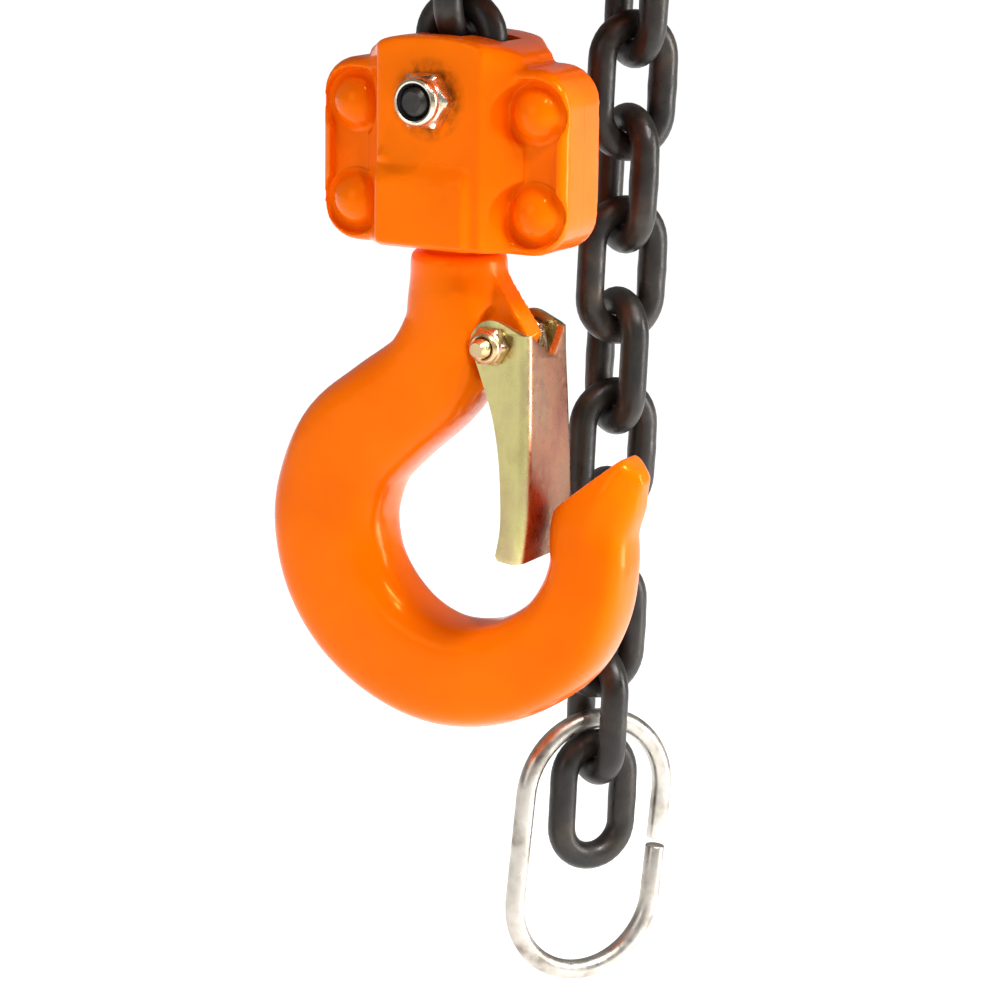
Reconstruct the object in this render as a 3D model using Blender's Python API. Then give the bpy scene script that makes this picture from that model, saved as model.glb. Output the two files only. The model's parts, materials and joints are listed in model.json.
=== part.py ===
"""Chain hoist, 0.75 t lever type, built as an assembly of named pieces.

Frame: metres, +Z up, origin at the saddle of the top hook, where the hoist hangs.
X runs from the load chain to the slack chain, Y along the load sheave's axle.
Sizes below are millimetres; MM turns them into metres when a mesh is made.
"""

import math

import bmesh
import bpy
from mathutils import Matrix, Vector

MM = 0.001
GAP = 0.3

# Chain
CHAIN_PITCH = 18.8
CHAIN_WIRE = 5.8
LINK_WIDTH = 20.0
LINK_INNER_LENGTH = CHAIN_PITCH + GAP
LOAD_LINKS = 4
TAIL_LINKS = 12
TAIL_LEAN = math.radians(2.2)
LOAD_TWISTS = (-55.7, -49.0, -31.5, -14.0)

# Places, all measured on the load line X = 0
SADDLE_TO_PIN = 216.0
HOOK_DROP = 77.0
COLLAR_BELOW_PIN = 30.0
BLOCK_TURN = math.radians(LOAD_TWISTS[0])

# Load sheave. Links bend about the end wires of the flat links, so the joints lie
# FLAT_SPAN apart across a link that lies flat and STANDING_SPAN apart along one that stands.
POCKETS = 4
FLAT_SPAN = LINK_INNER_LENGTH + CHAIN_WIRE
STANDING_SPAN = LINK_INNER_LENGTH - CHAIN_WIRE - 2 * GAP
PITCH_RADIUS = math.sqrt((FLAT_SPAN**2 + STANDING_SPAN**2) / 2 + FLAT_SPAN * STANDING_SPAN * math.sqrt(0.5))
SHEAVE_X = 23.0
SHEAVE_RISE = 3.43
SHEAVE_RADIUS = 24.4
SHEAVE_HALF = 12.8

# Lower block
PIN_RADIUS = 3.7
END_LINK_Z = CHAIN_PITCH / 2 - PIN_RADIUS - 0.2
BLOCK_FRONT = 12.6
RIVET_X = 20.3
RIVET_Z = (-2.2, -21.6)

# Load run: its last free joint, a little below the sheave's centre
LOAD_TOP_Z = END_LINK_Z + (LOAD_LINKS - 1) * CHAIN_PITCH + FLAT_SPAN / 2
SHEAVE_Z = LOAD_TOP_Z + SHEAVE_RISE

# Where the slack chain leaves the guide: the joint between its second and third links
GUIDE_X = 39.67
GUIDE_Z = 31.45

# Body
PLATE_IN = 13.3
PLATE_OUT = 17.3
YOKE_BOLT_X = 18.0
YOKE_BOLT_Z = 120.5
STAY_BOLT = (64.0, 57.0)
GEAR_MODULE = 1.25
GEAR_TEETH = 24
PINION_TEETH = 8
GEAR_CENTRES = GEAR_MODULE * (GEAR_TEETH + PINION_TEETH) / 2
LEVER_LENGTH = 245.0
LEVER_ANGLE = math.radians(42.0)
SELECTOR_X = 42.0
PAWL_AT = (20.2, 19.4)

# Hook forging in its own plane: (x, height above the chain pin, half width, half thickness)
HOOK_SPINE = (
    (0.0, -34.4, 9.8, 9.6),
    (0.2, -40.0, 10.3, 9.6),
    (-0.2, -47.5, 10.7, 9.3),
    (-4.9, -56.9, 11.1, 9.2),
    (-15.2, -65.6, 11.8, 9.1),
    (-23.1, -72.8, 12.5, 9.0),
    (-27.0, -80.7, 12.7, 9.0),
    (-28.5, -89.3, 12.9, 9.0),
    (-26.5, -99.3, 12.9, 9.0),
    (-21.1, -107.8, 12.6, 9.1),
    (-12.9, -114.3, 11.9, 9.1),
    (-3.2, -117.7, 11.4, 9.0),
    (6.8, -117.4, 10.9, 8.8),
    (16.3, -114.1, 10.3, 8.5),
    (24.8, -107.9, 9.9, 8.2),
    (29.7, -99.9, 9.2, 7.8),
    (31.7, -91.4, 8.5, 7.4),
    (31.6, -83.4, 8.7, 7.1),
    (34.7, -75.0, 8.2, 6.4),
    (38.4, -69.9, 6.0, 4.8),
)
# The beak is cut off straight on its inner side, from its corner up to its tip
BEAK_CORNER = (22.6, -81.6)
BEAK_TIP = (40.2, -67.4)
LATCH_PIVOT = (12.6, -47.7)
LATCH_HALF = 9.0
LATCH_FLARE = 1.8
LATCH_SHEET = 1.4

ORANGE = ((1.0, 0.22, 0.01), 0.28, 0.0)
BLACK_CHAIN = ((0.022, 0.019, 0.016), 0.35, 0.6)
YELLOW_ZINC = ((0.55, 0.45, 0.2), 0.3, 0.9)
BRIGHT_STEEL = ((0.5, 0.48, 0.44), 0.3, 1.0)
DARK_STEEL = ((0.1, 0.1, 0.1), 0.4, 0.9)
BLACK_RUBBER = ((0.02, 0.02, 0.02), 0.7, 0.0)


def clear_scene():
    for obj in list(bpy.data.objects):
        bpy.data.objects.remove(obj, do_unlink=True)


def new_frame(name, location, rotation=(0.0, 0.0, 0.0), parent=None):
    """An empty that holds a sub-assembly; location in mm."""
    empty = bpy.data.objects.new(name, None)
    bpy.context.collection.objects.link(empty)
    empty.location = Vector(location) * MM
    empty.rotation_euler = rotation
    empty.parent = parent
    return empty


def set_finish(obj, finish):
    colour, roughness, metallic = finish
    material = bpy.data.materials.new(obj.name + "_finish")
    material.use_nodes = True
    shader = material.node_tree.nodes["Principled BSDF"]
    shader.inputs["Base Color"].default_value = (*colour, 1.0)
    shader.inputs["Roughness"].default_value = roughness
    shader.inputs["Metallic"].default_value = metallic
    obj.data.materials.append(material)


def mesh_from(name, bm, origin):
    """Closes a bmesh drawn in mm into a mesh in metres about its origin."""
    bmesh.ops.translate(bm, vec=-Vector(origin), verts=bm.verts)
    bmesh.ops.scale(bm, vec=(MM, MM, MM), verts=bm.verts)
    bmesh.ops.recalc_face_normals(bm, faces=bm.faces)
    mesh = bpy.data.meshes.new(name)
    bm.to_mesh(mesh)
    bm.free()
    mesh.shade_smooth()
    mesh.set_sharp_from_angle(angle=math.radians(40))
    return mesh


def add_piece(name, bm, finish, frame=None, origin=(0.0, 0.0, 0.0)):
    """One named sub-part; its origin lies on the axis that it moves about."""
    obj = bpy.data.objects.new(name, mesh_from(name, bm, origin))
    bpy.context.collection.objects.link(obj)
    obj.location = Vector(origin) * MM
    obj.parent = frame
    set_finish(obj, finish)
    return obj


def change(obj, bm, operation="DIFFERENCE"):
    """Cuts a helper shape from obj, or joins it on; bm is drawn in obj's parent frame."""
    helper = bpy.data.objects.new(obj.name + "_helper", mesh_from(obj.name + "_helper", bm, (0, 0, 0)))
    bpy.context.collection.objects.link(helper)
    helper.parent = obj.parent
    helper.hide_render = True
    helper.display_type = "WIRE"
    boolean = obj.modifiers.new(operation.title(), "BOOLEAN")
    boolean.operation = operation
    boolean.object = helper
    boolean.solver = "EXACT"


def loft(rings, closed=False):
    """A skin over rings of points, capped at both ends unless it closes on itself."""
    bm = bmesh.new()
    made = [[bm.verts.new(point) for point in ring] for ring in rings]
    pairs = list(zip(made, made[1:]))
    if closed:
        pairs.append((made[-1], made[0]))
    for low, high in pairs:
        count = len(low)
        for i in range(count):
            j = (i + 1) % count
            bm.faces.new((low[i], low[j], high[j], high[i]))
    if not closed:
        bm.faces.new(list(reversed(made[0])))
        bm.faces.new(made[-1])
    return bm


def on_axis(axis, u, v, h):
    """(u, v) across the axis and h along it."""
    if axis == "Z":
        return Vector((u, v, h))
    return Vector((u, h, v))


def turned(profile, axis="Y", centre=(0.0, 0.0), sides=24, bored=False):
    """A turned solid from (radius, height) points; with bored, the profile is a closed loop."""
    rings = []
    for radius, height in profile:
        ring = []
        for i in range(sides):
            angle = 2 * math.pi * i / sides
            u = centre[0] + radius * math.cos(angle)
            v = centre[1] + radius * math.sin(angle)
            ring.append(on_axis(axis, u, v, height))
        rings.append(ring)
    return loft(rings, closed=bored)


def rod(radius, low, high, axis="Y", centre=(0.0, 0.0), sides=16):
    return turned(((radius, low), (radius, high)), axis, centre, sides)


def prism(outline, low, high, axis="Y"):
    return loft([[on_axis(axis, u, v, height) for u, v in outline] for height in (low, high)])


def rounded(points, radius, steps=4):
    """A polygon with its corners rounded by arcs."""
    outline = []
    count = len(points)
    for i in range(count):
        corner = Vector(points[i])
        back = (Vector(points[i - 1]) - corner).normalized()
        ahead = (Vector(points[(i + 1) % count]) - corner).normalized()
        half = back.angle(ahead) / 2
        reach = radius / math.tan(half)
        middle = corner + (back + ahead).normalized() * (radius / math.sin(half))
        start = corner + back * reach - middle
        end = corner + ahead * reach - middle
        sweep = start.angle_signed(end)
        for k in range(steps + 1):
            arm = Matrix.Rotation(-sweep * k / steps, 2) @ start
            outline.append(tuple(middle + arm))
    return outline


def box_outline(x0, z0, x1, z1):
    return ((x0, z0), (x1, z0), (x1, z1), (x0, z1))


def slot_outline(half_length, half_width, steps=6):
    """A slot with round ends, long along the first coordinate."""
    outline = []
    for side in (1, -1):
        for k in range(steps + 1):
            angle = -math.pi / 2 + math.pi * k / steps
            u = side * (half_length - half_width + half_width * math.cos(angle))
            outline.append((u, side * half_width * math.sin(angle)))
    return outline


def tube(path, radius, sides=8, closed=False):
    """A round wire along a path, its sections carried along without twisting."""
    count = len(path)
    points = [Vector(point) for point in path]
    across = None
    rings = []
    for i, point in enumerate(points):
        before = points[i - 1] if closed or i else point
        after = points[(i + 1) % count] if closed or i < count - 1 else point
        along = (after - before).normalized()
        if across is None:
            across = along.orthogonal().normalized()
        across = (across - along * across.dot(along)).normalized()
        other = along.cross(across)
        ring = []
        for k in range(sides):
            angle = 2 * math.pi * k / sides
            ring.append(point + (across * math.cos(angle) + other * math.sin(angle)) * radius)
        rings.append(ring)
    return loft(rings, closed=closed)


def oval_path(half_width, half_length, steps):
    """A stadium in the XZ plane about the origin, long along Z."""
    straight = half_length - half_width
    path = []
    for end in (1, -1):
        for k in range(steps + 1):
            angle = math.pi * k / steps
            x = end * half_width * math.cos(angle)
            z = end * (straight + half_width * math.sin(angle))
            path.append((x, 0.0, z))
    return path


def gear_outline(teeth, phase=0.0):
    """Straight-flanked teeth with backlash; a tooth points along the first axis at phase 0."""
    pitch_radius = GEAR_MODULE * teeth / 2
    tip = pitch_radius + 0.75 * GEAR_MODULE
    root = pitch_radius - 1.1 * GEAR_MODULE
    step = 2 * math.pi / teeth
    outline = []
    for i in range(teeth):
        middle = phase + i * step
        root_half = 1.05 * GEAR_MODULE / root
        tip_half = 0.3 * GEAR_MODULE / tip
        for radius, offset in ((root, -root_half), (tip, -tip_half), (tip, tip_half), (root, root_half)):
            angle = middle + min(max(offset, -0.48 * step), 0.48 * step)
            outline.append((radius * math.cos(angle), radius * math.sin(angle)))
    return outline


def hexagon(across_flats):
    radius = across_flats / math.sqrt(3)
    return [(radius * math.cos(math.pi * k / 3), radius * math.sin(math.pi * k / 3)) for k in range(6)]


def shifted(outline, u, v):
    return [(a + u, b + v) for a, b in outline]


# ---------------------------------------------------------------- chain


def link_bmesh():
    """One link about its own pivot, which is the wire that it hangs from."""
    half_width = (LINK_WIDTH - CHAIN_WIRE) / 2
    half_length = (LINK_INNER_LENGTH + CHAIN_WIRE) / 2
    bm = tube(oval_path(half_width, half_length, 5), CHAIN_WIRE / 2, sides=8, closed=True)
    bmesh.ops.translate(bm, vec=(0, 0, -link_pivot()), verts=bm.verts)
    return bm


def link_pivot():
    """Height of a link's pivot above its middle."""
    return STANDING_SPAN / 2


def link_axes(low, high, standing, twist):
    """World axes of a link: Z along it, Y square to its plane."""
    along = (high - low).normalized()
    side = Vector((0, 1, 0))
    if standing:
        flat = side.cross(along)
        square = side
    else:
        flat = side
        square = along.cross(side)
    turn = Matrix.Rotation(math.radians(twist), 3, along)
    return turn @ flat, turn @ square, along


def add_link(name, mesh, low, high, standing, twist=0.0):
    flat, square, along = link_axes(low, high, standing, twist)
    obj = bpy.data.objects.new(name, mesh)
    bpy.context.collection.objects.link(obj)
    obj.rotation_euler = Matrix((flat, square, along)).transposed().to_euler()
    obj.location = ((low + high) / 2 + along * link_pivot()) * MM
    return obj


def span(standing):
    return STANDING_SPAN if standing else FLAT_SPAN


def chain_joints():
    """The joints of the load run, of the links on the sheave and of the slack run, up and over."""
    load = [Vector((0, 0, END_LINK_Z - SADDLE_TO_PIN - STANDING_SPAN / 2))]
    for k in range(LOAD_LINKS):
        load.append(load[-1] + Vector((0, 0, span(k % 2 == 0))))
    centre = Vector((SHEAVE_X, 0, SHEAVE_Z - SADDLE_TO_PIN))
    reach = load[-1] - centre
    distance = reach.length
    sides = (PITCH_RADIUS**2 + distance**2 - STANDING_SPAN**2) / (2 * PITCH_RADIUS * distance)
    angle = math.atan2(reach.z, reach.x) - math.acos(sides)
    over = [load[-1]]
    for k in range(5):
        over.append(centre + Vector((math.cos(angle), 0, math.sin(angle))) * PITCH_RADIUS)
        angle -= 2 * math.asin(span(k % 2 == 1) / 2 / PITCH_RADIUS)
    guide = Vector((GUIDE_X, 0, GUIDE_Z - SADDLE_TO_PIN))
    entry = (guide - over[-1]).normalized()
    slack = [over[-1], over[-1] + entry * FLAT_SPAN, guide]
    down = -Vector((math.sin(TAIL_LEAN), 0, math.cos(TAIL_LEAN)))
    for k in range(2, TAIL_LINKS):
        slack.append(slack[-1] + down * span(k % 2 == 1))
    return load, over, slack


def build_chain():
    load, over, slack = chain_joints()
    mesh = mesh_from("chain_link", link_bmesh(), (0, 0, 0))
    links = []
    for k in range(LOAD_LINKS):
        links.append(add_link(f"load_link_{k + 1}", mesh, load[k], load[k + 1], k % 2 == 0, LOAD_TWISTS[k]))
    for k in range(5):
        links.append(add_link(f"sheave_link_{k + 1}", mesh, over[k], over[k + 1], k % 2 == 0))
    for k in range(TAIL_LINKS):
        links.append(add_link(f"slack_link_{k + 1:02d}", mesh, slack[k + 1], slack[k], k % 2 == 1))
    set_finish(links[0], BLACK_CHAIN)
    return slack


def build_end_ring(slack):
    """An open wire ring through the last link but one, lying on the crown of the last."""
    wire, half_width, half_length, cut = 2.1, 16.3, 27.9, 0.8
    path = oval_path(half_width, half_length, 9)
    start = Vector((half_width, 0, -cut))
    end = Vector((half_width, 0, cut))
    route = [end] + [Vector(point) for point in path] + [start]
    last_middle = (slack[-1] + slack[-2]) / 2
    crown = last_middle.z + LINK_INNER_LENGTH / 2 + CHAIN_WIRE
    top = Vector((last_middle.x + 2.0, 0, crown + GAP + wire))
    lean = Matrix.Rotation(math.radians(5.6), 4, "Y")
    bm = tube(route, wire, sides=8)
    bmesh.ops.translate(bm, vec=(0, 0, -half_length), verts=bm.verts)
    bmesh.ops.rotate(bm, cent=(0, 0, 0), matrix=lean, verts=bm.verts)
    bmesh.ops.translate(bm, vec=top, verts=bm.verts)
    add_piece("chain_end_ring", bm, BRIGHT_STEEL, origin=top)


# ---------------------------------------------------------------- hooks


def smooth_stations(stations):
    """Catmull-Rom mid-points put between the given stations."""
    count = len(stations)
    result = []
    for i in range(count - 1):
        near = [Vector(stations[min(max(i + k, 0), count - 1)]) for k in (-1, 0, 1, 2)]
        result.append(near[1])
        result.append((near[1] + near[2]) * 0.5625 - (near[0] + near[3]) * 0.0625)
    result.append(Vector(stations[-1]))
    return result


def hook_ring(centre, along, half_width, half_thick, square, sides=10):
    """A rounded section across the hook; square is 2 for an ellipse and more for flatter sides."""
    out = Vector((-along.z, 0, along.x))
    ring = []
    for k in range(sides):
        angle = 2 * math.pi * (k + 0.5) / sides
        u, v = math.cos(angle), math.sin(angle)
        u = math.copysign(abs(u) ** (2 / square), u)
        v = math.copysign(abs(v) ** (2 / square), v)
        ring.append(centre + out * (half_width * u) + Vector((0, half_thick * v, 0)))
    return ring


def hook_bmesh(shank):
    """The forging, lofted down its shank (radius, height above the collar) and round its bowl."""
    down = Vector((0, 0, -1))
    rings = [hook_ring(Vector((0, 0, height)), down, radius, radius, 2) for radius, height in shank]
    stations = smooth_stations([Vector(station) for station in HOOK_SPINE])
    points = [Vector((s[0], 0, s[1] + COLLAR_BELOW_PIN)) for s in stations]
    last = len(stations) - 1
    for i, station in enumerate(stations):
        along = (points[min(i + 1, last)] - points[max(i - 1, 0)]).normalized()
        square = 2 + 0.6 * min(i / 8, 1)
        rings.append(hook_ring(points[i], along, station[2], station[3], square))
    along = (points[-1] - points[-2]).normalized()
    rings.append(hook_ring(points[-1] + along * 1.4, along, 3.6, 3.0, 2))
    return loft(rings)


def latch_pivot():
    return LATCH_PIVOT[0], LATCH_PIVOT[1] + COLLAR_BELOW_PIN


def build_hook(name, frame, shank):
    hook = add_piece(name, hook_bmesh(shank), ORANGE, frame)
    nose = ((2.0, -6.0), (9.4, -4.4), (11.4, -7.6), (15.6, -13.4), (17.4, -16.4))
    lug = (*nose, (16.4, -18.6), (13.4, -23.4), (6.0, -29.0), (0.0, -28.0))
    change(hook, prism(rounded(lug, 0.8, 2), -3.2, 3.2), "UNION")
    change(hook, rod(2.3, -9.5, 9.5, centre=latch_pivot(), sides=12))
    for side in (-1, 1):
        relief = ((9.0, -10.0), (22.0, -10.0), (22.0, -32.0), (7.0, -26.0), (6.5, -18.0))
        change(hook, prism(rounded(relief, 2.0, 3), *sorted((side * 3.2, side * 12.0))))
    change(hook, prism(beak_cut(), -12.0, 12.0))
    return hook


def beak_cut():
    """The wedge that is missing from the inner side of the beak."""
    (x0, z0), (x1, z1) = BEAK_CORNER, BEAK_TIP
    z0 += COLLAR_BELOW_PIN
    z1 += COLLAR_BELOW_PIN
    return ((x0, z0), (x1, z1), (x1 + 6.0, z1 + 12.0), (x0 - 8.0, z1 + 12.0), (x0 - 8.0, z0 - 6.45))


def latch_side():
    """Side outline of the latch about the pivot at the top, spine to the right."""
    u, v = latch_pivot()
    outline = []
    for k in range(9):
        angle = math.radians(80 + 150 * k / 8)
        outline.append((u + 5.2 * math.cos(angle), v + 5.2 * math.sin(angle)))
    outline += [(12.6, -31.5), (15.2, -40.5), (15.7, -52.0), (16.2, -59.2)]
    outline += [(19.6, -60.2), (21.0, -54.0), (21.3, -46.0), (20.9, -34.0), (20.4, -20.0), (20.1, -16.6)]
    return outline


def flared(bm, inset):
    """Sets the latch's width at each height: it widens from the pivot to its free end."""
    for vert in bm.verts:
        share = min(max((-24.0 - vert.co.z) / 32.0, 0.0), 1.0)
        half = LATCH_HALF + LATCH_FLARE * share - inset
        vert.co.y = math.copysign(half, vert.co.y)
    return bm


def build_latch(name, frame):
    """A folded sheet channel: two sides round the lug and a spine towards the hook's tip."""
    u, v = latch_pivot()
    body = add_piece(name, flared(prism(latch_side(), -1.0, 1.0), 0.0), YELLOW_ZINC, frame, (u, 0, v))
    hollow = [(-5.0, 0.0), (-5.0, -20.0), (-5.0, -70.0), (17.8, -70.0), (19.5, -54.0)]
    hollow += [(19.8, -46.0), (19.4, -34.0), (19.0, -20.0), (18.6, 0.0)]
    change(body, flared(prism(hollow, -1.0, 1.0), LATCH_SHEET))
    change(body, rod(2.3, -12.0, 12.0, centre=(u, v), sides=12))
    return body


def build_latch_spring(name, frame):
    """A torsion spring round the pivot, one leg on the lug and one down the inside of the spine."""
    u, v = latch_pivot()
    turns, radius, wire = 2.0, 3.3, 0.45
    steps = 20
    path = [(15.6, 3.9, -11.0)]
    for k in range(steps + 1):
        angle = math.radians(20) + 2 * math.pi * turns * k / steps
        path.append((u + radius * math.cos(angle), 3.9 + 2.6 * k / steps, v + radius * math.sin(angle)))
    path.append((18.4, 6.5, -27.0))
    add_piece(name, tube(path, wire, sides=5), BRIGHT_STEEL, frame, (u, 0, v))


def nut_bmesh(across_flats, bore, base, height, direction, centre):
    """A lock nut: hexagon below, round collar above; direction is -1 towards -Y."""
    collar = across_flats * 0.45
    hex_high = base + direction * height * 0.62
    top = base + direction * height
    low, high = sorted((base, hex_high))
    bm = prism(shifted(hexagon(across_flats), *centre), low, high)
    low, high = sorted((base + direction * height * 0.4, top))
    collar_bm = rod(collar, low, high, centre=centre, sides=18)
    hole = rod(bore, *sorted((base - direction, top + direction)), centre=centre, sides=18)
    return bm, collar_bm, hole


def build_nut(name, frame, across_flats, bore, base, height, direction, centre):
    bm, collar, hole = nut_bmesh(across_flats, bore, base, height, direction, centre)
    nut = add_piece(name, bm, YELLOW_ZINC, frame, (centre[0], base, centre[1]))
    change(nut, collar, "UNION")
    change(nut, hole)


def build_bottom_hook(frame):
    shank = ((9.6, 15.6), (9.9, 15.0), (9.9, 4.6), (6.8, 4.3), (6.8, -0.8), (9.3, -1.2), (9.7, -2.4))
    build_hook("bottom_hook", frame, shank)
    build_latch("bottom_latch", frame)
    build_latch_spring("bottom_latch_spring", frame)
    u, v = latch_pivot()
    head = LATCH_HALF + GAP
    bolt = ((1.5, -15.6), (2.0, -15.0), (2.0, head), (3.6, head), (3.6, head + 2.1), (2.6, head + 2.9))
    add_piece("bottom_latch_bolt", turned(bolt, centre=(u, v), sides=12), YELLOW_ZINC, frame, (u, 0, v))
    build_nut("bottom_latch_nut", frame, 7.0, 2.3, -LATCH_HALF - 0.45, 3.7, -1, (u, v))


# ---------------------------------------------------------------- lower block


def mirrored(points):
    """The other half of an outline that is the same on both sides."""
    return tuple((-u, v) for u, v in reversed(points))


def block_half_bmesh(side):
    """Housing of one half, tapered towards its face; side is -1 for the front half."""
    right_face = ((11.8, -29.7), (11.8, 9.8), (9.8, 11.8), (5.0, 12.4))
    right_foot = ((14.4, -29.8), (14.4, 9.0), (11.8, 10.8), (6.0, 12.4))
    face, foot = (rounded(right + mirrored(right), 0.8, 2) for right in (right_face, right_foot))
    rings = []
    for outline, y in ((foot, 0.15), (foot, 6.0), (face, BLOCK_FRONT - 0.8), (face, BLOCK_FRONT)):
        rings.append([Vector((u, side * y, v)) for u, v in outline])
    rings[-1] = [Vector((p.x * 0.94, p.y, (p.z + 9.3) * 0.97 - 9.3)) for p in rings[-1]]
    return loft(rings)


def build_block_half(name, side, frame):
    half = add_piece(name, block_half_bmesh(side), ORANGE, frame)
    flange = rounded(box_outline(-27.5, -29.9, 27.5, 6.8), 7.0, 3)
    change(half, prism(flange, *sorted((side * 0.15, side * 7.8))), "UNION")
    for x in (-1, 1):
        left, right = sorted((x * 14.7, x * 25.9))
        pocket = rounded(box_outline(left, -28.4, right, 5.0), 4.5, 3)
        change(half, prism(pocket, *sorted((side * 5.5, side * 9.0))))
        for z in RIVET_Z:
            change(half, rod(2.95, -9, 9, centre=(x * RIVET_X, z), sides=10))
    change(half, prism(rounded(box_outline(-11.3, -12.0, 11.3, 20.0), 2.0, 2), -4.4, 4.4))
    change(half, prism(box_outline(-4.7, 8.2, 4.7, 20.0), -8.7, 8.7))
    cavity = ((7.1, -36.0), (7.1, -25.7), (10.3, -25.7), (10.3, -11.0))
    change(half, turned(cavity, axis="Z", sides=20))
    change(half, rod(PIN_RADIUS + 0.3, -20, 20, sides=16))


def build_block(frame):
    build_block_half("block_front_half", -1, frame)
    build_block_half("block_rear_half", 1, frame)
    dome = ((1.6, 9.3), (3.3, 8.6), (4.6, 7.3), (5.15, 5.8), (2.6, 5.8))
    profile = [(radius, -height) for radius, height in dome] + list(reversed(dome))
    number = 0
    for x in (-RIVET_X, RIVET_X):
        for z in RIVET_Z:
            number += 1
            rivet = turned(profile, centre=(x, z), sides=10)
            add_piece(f"block_rivet_{number}", rivet, ORANGE, frame, (x, 0, z))
    out = BLOCK_FRONT + GAP
    bolt = ((2.5, -20.8), (3.0, -20.3), (3.0, -out), (PIN_RADIUS, -out), (PIN_RADIUS, out))
    bolt += ((6.6, out), (6.6, 16.2), (5.4, 17.4))
    add_piece("chain_pin_bolt", turned(bolt, sides=18), DARK_STEEL, frame)
    build_nut("chain_pin_nut", frame, 10.0, 3.3, -out - 0.1, 5.75, -1, (0.0, 0.0))


# ---------------------------------------------------------------- body


def plate_outline():
    points = ((-28.0, 45.0), (62.0, 45.0), (72.0, 58.0), (72.0, 98.0), (50.0, 124.0), (26.0, 138.0))
    return rounded((*points, (-28.0, 138.0)), 8.0, 4)


def build_side_plate(name, side, frame):
    sheet = prism(plate_outline(), *sorted((side * PLATE_IN, side * PLATE_OUT)))
    plate = add_piece(name, sheet, ORANGE, frame)
    low, high = sorted((side * 8, side * 24))
    change(plate, rod(12.3, low, high, centre=(SHEAVE_X, SHEAVE_Z), sides=24))
    for centre in ((-YOKE_BOLT_X, YOKE_BOLT_Z), (YOKE_BOLT_X, YOKE_BOLT_Z), STAY_BOLT):
        change(plate, rod(4.3, low, high, centre=centre, sides=12))
    if side > 0:
        for x in (-1, 1):
            change(plate, rod(3.3, low, high, centre=(SHEAVE_X + x * GEAR_CENTRES, SHEAVE_Z), sides=12))


def build_frame(frame):
    build_side_plate("side_plate_gear", 1, frame)
    build_side_plate("side_plate_brake", -1, frame)
    head = prism(rounded(box_outline(-25.0, 113.6, 25.0, 138.6), 4.0, 3), -12.9, 12.9)
    yoke = add_piece("top_yoke", head, DARK_STEEL, frame)
    change(yoke, rod(11.6, 110.0, 126.8, axis="Z", sides=20))
    change(yoke, rod(6.3, 120.0, 145.0, axis="Z", sides=16))
    names = ("yoke_bolt_left", "yoke_bolt_right", "stay_bolt")
    places = ((-YOKE_BOLT_X, YOKE_BOLT_Z), (YOKE_BOLT_X, YOKE_BOLT_Z), STAY_BOLT)
    for name, centre in zip(names, places):
        out = PLATE_OUT + GAP
        head = ((4.0, out), (5.8, out), (5.8, out + 4.0), (5.0, out + 4.6))
        ends = [(radius, -height) for radius, height in reversed(head)] + list(head)
        bolt = turned(ends, centre=centre, sides=12)
        add_piece(name, bolt, BRIGHT_STEEL, frame, (centre[0], 0, centre[1]))
        if centre[1] == YOKE_BOLT_Z:
            change(yoke, rod(4.3, -16, 16, centre=centre, sides=12))
    build_chain_guide(frame)


def build_chain_guide(frame):
    """Both chains leave through this casting, and its finger strips them from the sheave."""
    bar = prism(rounded(box_outline(-25.0, 45.4, 66.0, 50.0), 1.5, 2), -12.9, 12.9)
    guide = add_piece("chain_guide", bar, DARK_STEEL, frame)
    finger = ((16.5, 48.0), (29.0, 48.0), (27.5, 57.0), (23.0, 62.5), (19.0, 58.0))
    change(guide, prism(finger, -2.7, 2.7), "UNION")
    for x0, x1 in ((-11.4, 11.4), (30.3, 54.0)):
        window = rounded(((x0, -11.3), (x1, -11.3), (x1, 11.3), (x0, 11.3)), 3.0, 3)
        change(guide, prism(window, 40.0, 56.0, axis="Z"))


def build_top_hook(frame):
    shank = ((5.4, 26.4), (5.9, 25.8), (5.9, 0.3), (9.2, 0.0), (9.6, -1.6))
    build_hook("top_hook", frame, shank)
    build_latch("top_latch", frame)
    u, v = latch_pivot()
    head = LATCH_HALF + GAP
    pin = ((3.4, -head - 1.7), (3.4, -head), (2.0, -head), (2.0, head), (3.4, head), (3.4, head + 1.7))
    add_piece("top_latch_pin", turned(pin, centre=(u, v), sides=12), YELLOW_ZINC, frame, (u, 0, v))
    nut = add_piece("top_hook_nut", prism(hexagon(18.0), 13.4, 24.0, axis="Z"), DARK_STEEL, frame)
    change(nut, rod(6.2, 8.0, 30.0, axis="Z", sides=16))


# ---------------------------------------------------------------- sheave and gears, about the sheave's centre


def sheave_pocket_angle():
    """Direction of the first pocket, in line with the flat link behind the load run."""
    load, over, _ = chain_joints()
    centre = Vector((SHEAVE_X, 0, SHEAVE_Z - SADDLE_TO_PIN))
    middle = (over[1] + over[2]) / 2 - centre
    return math.atan2(middle.z, middle.x)


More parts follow.
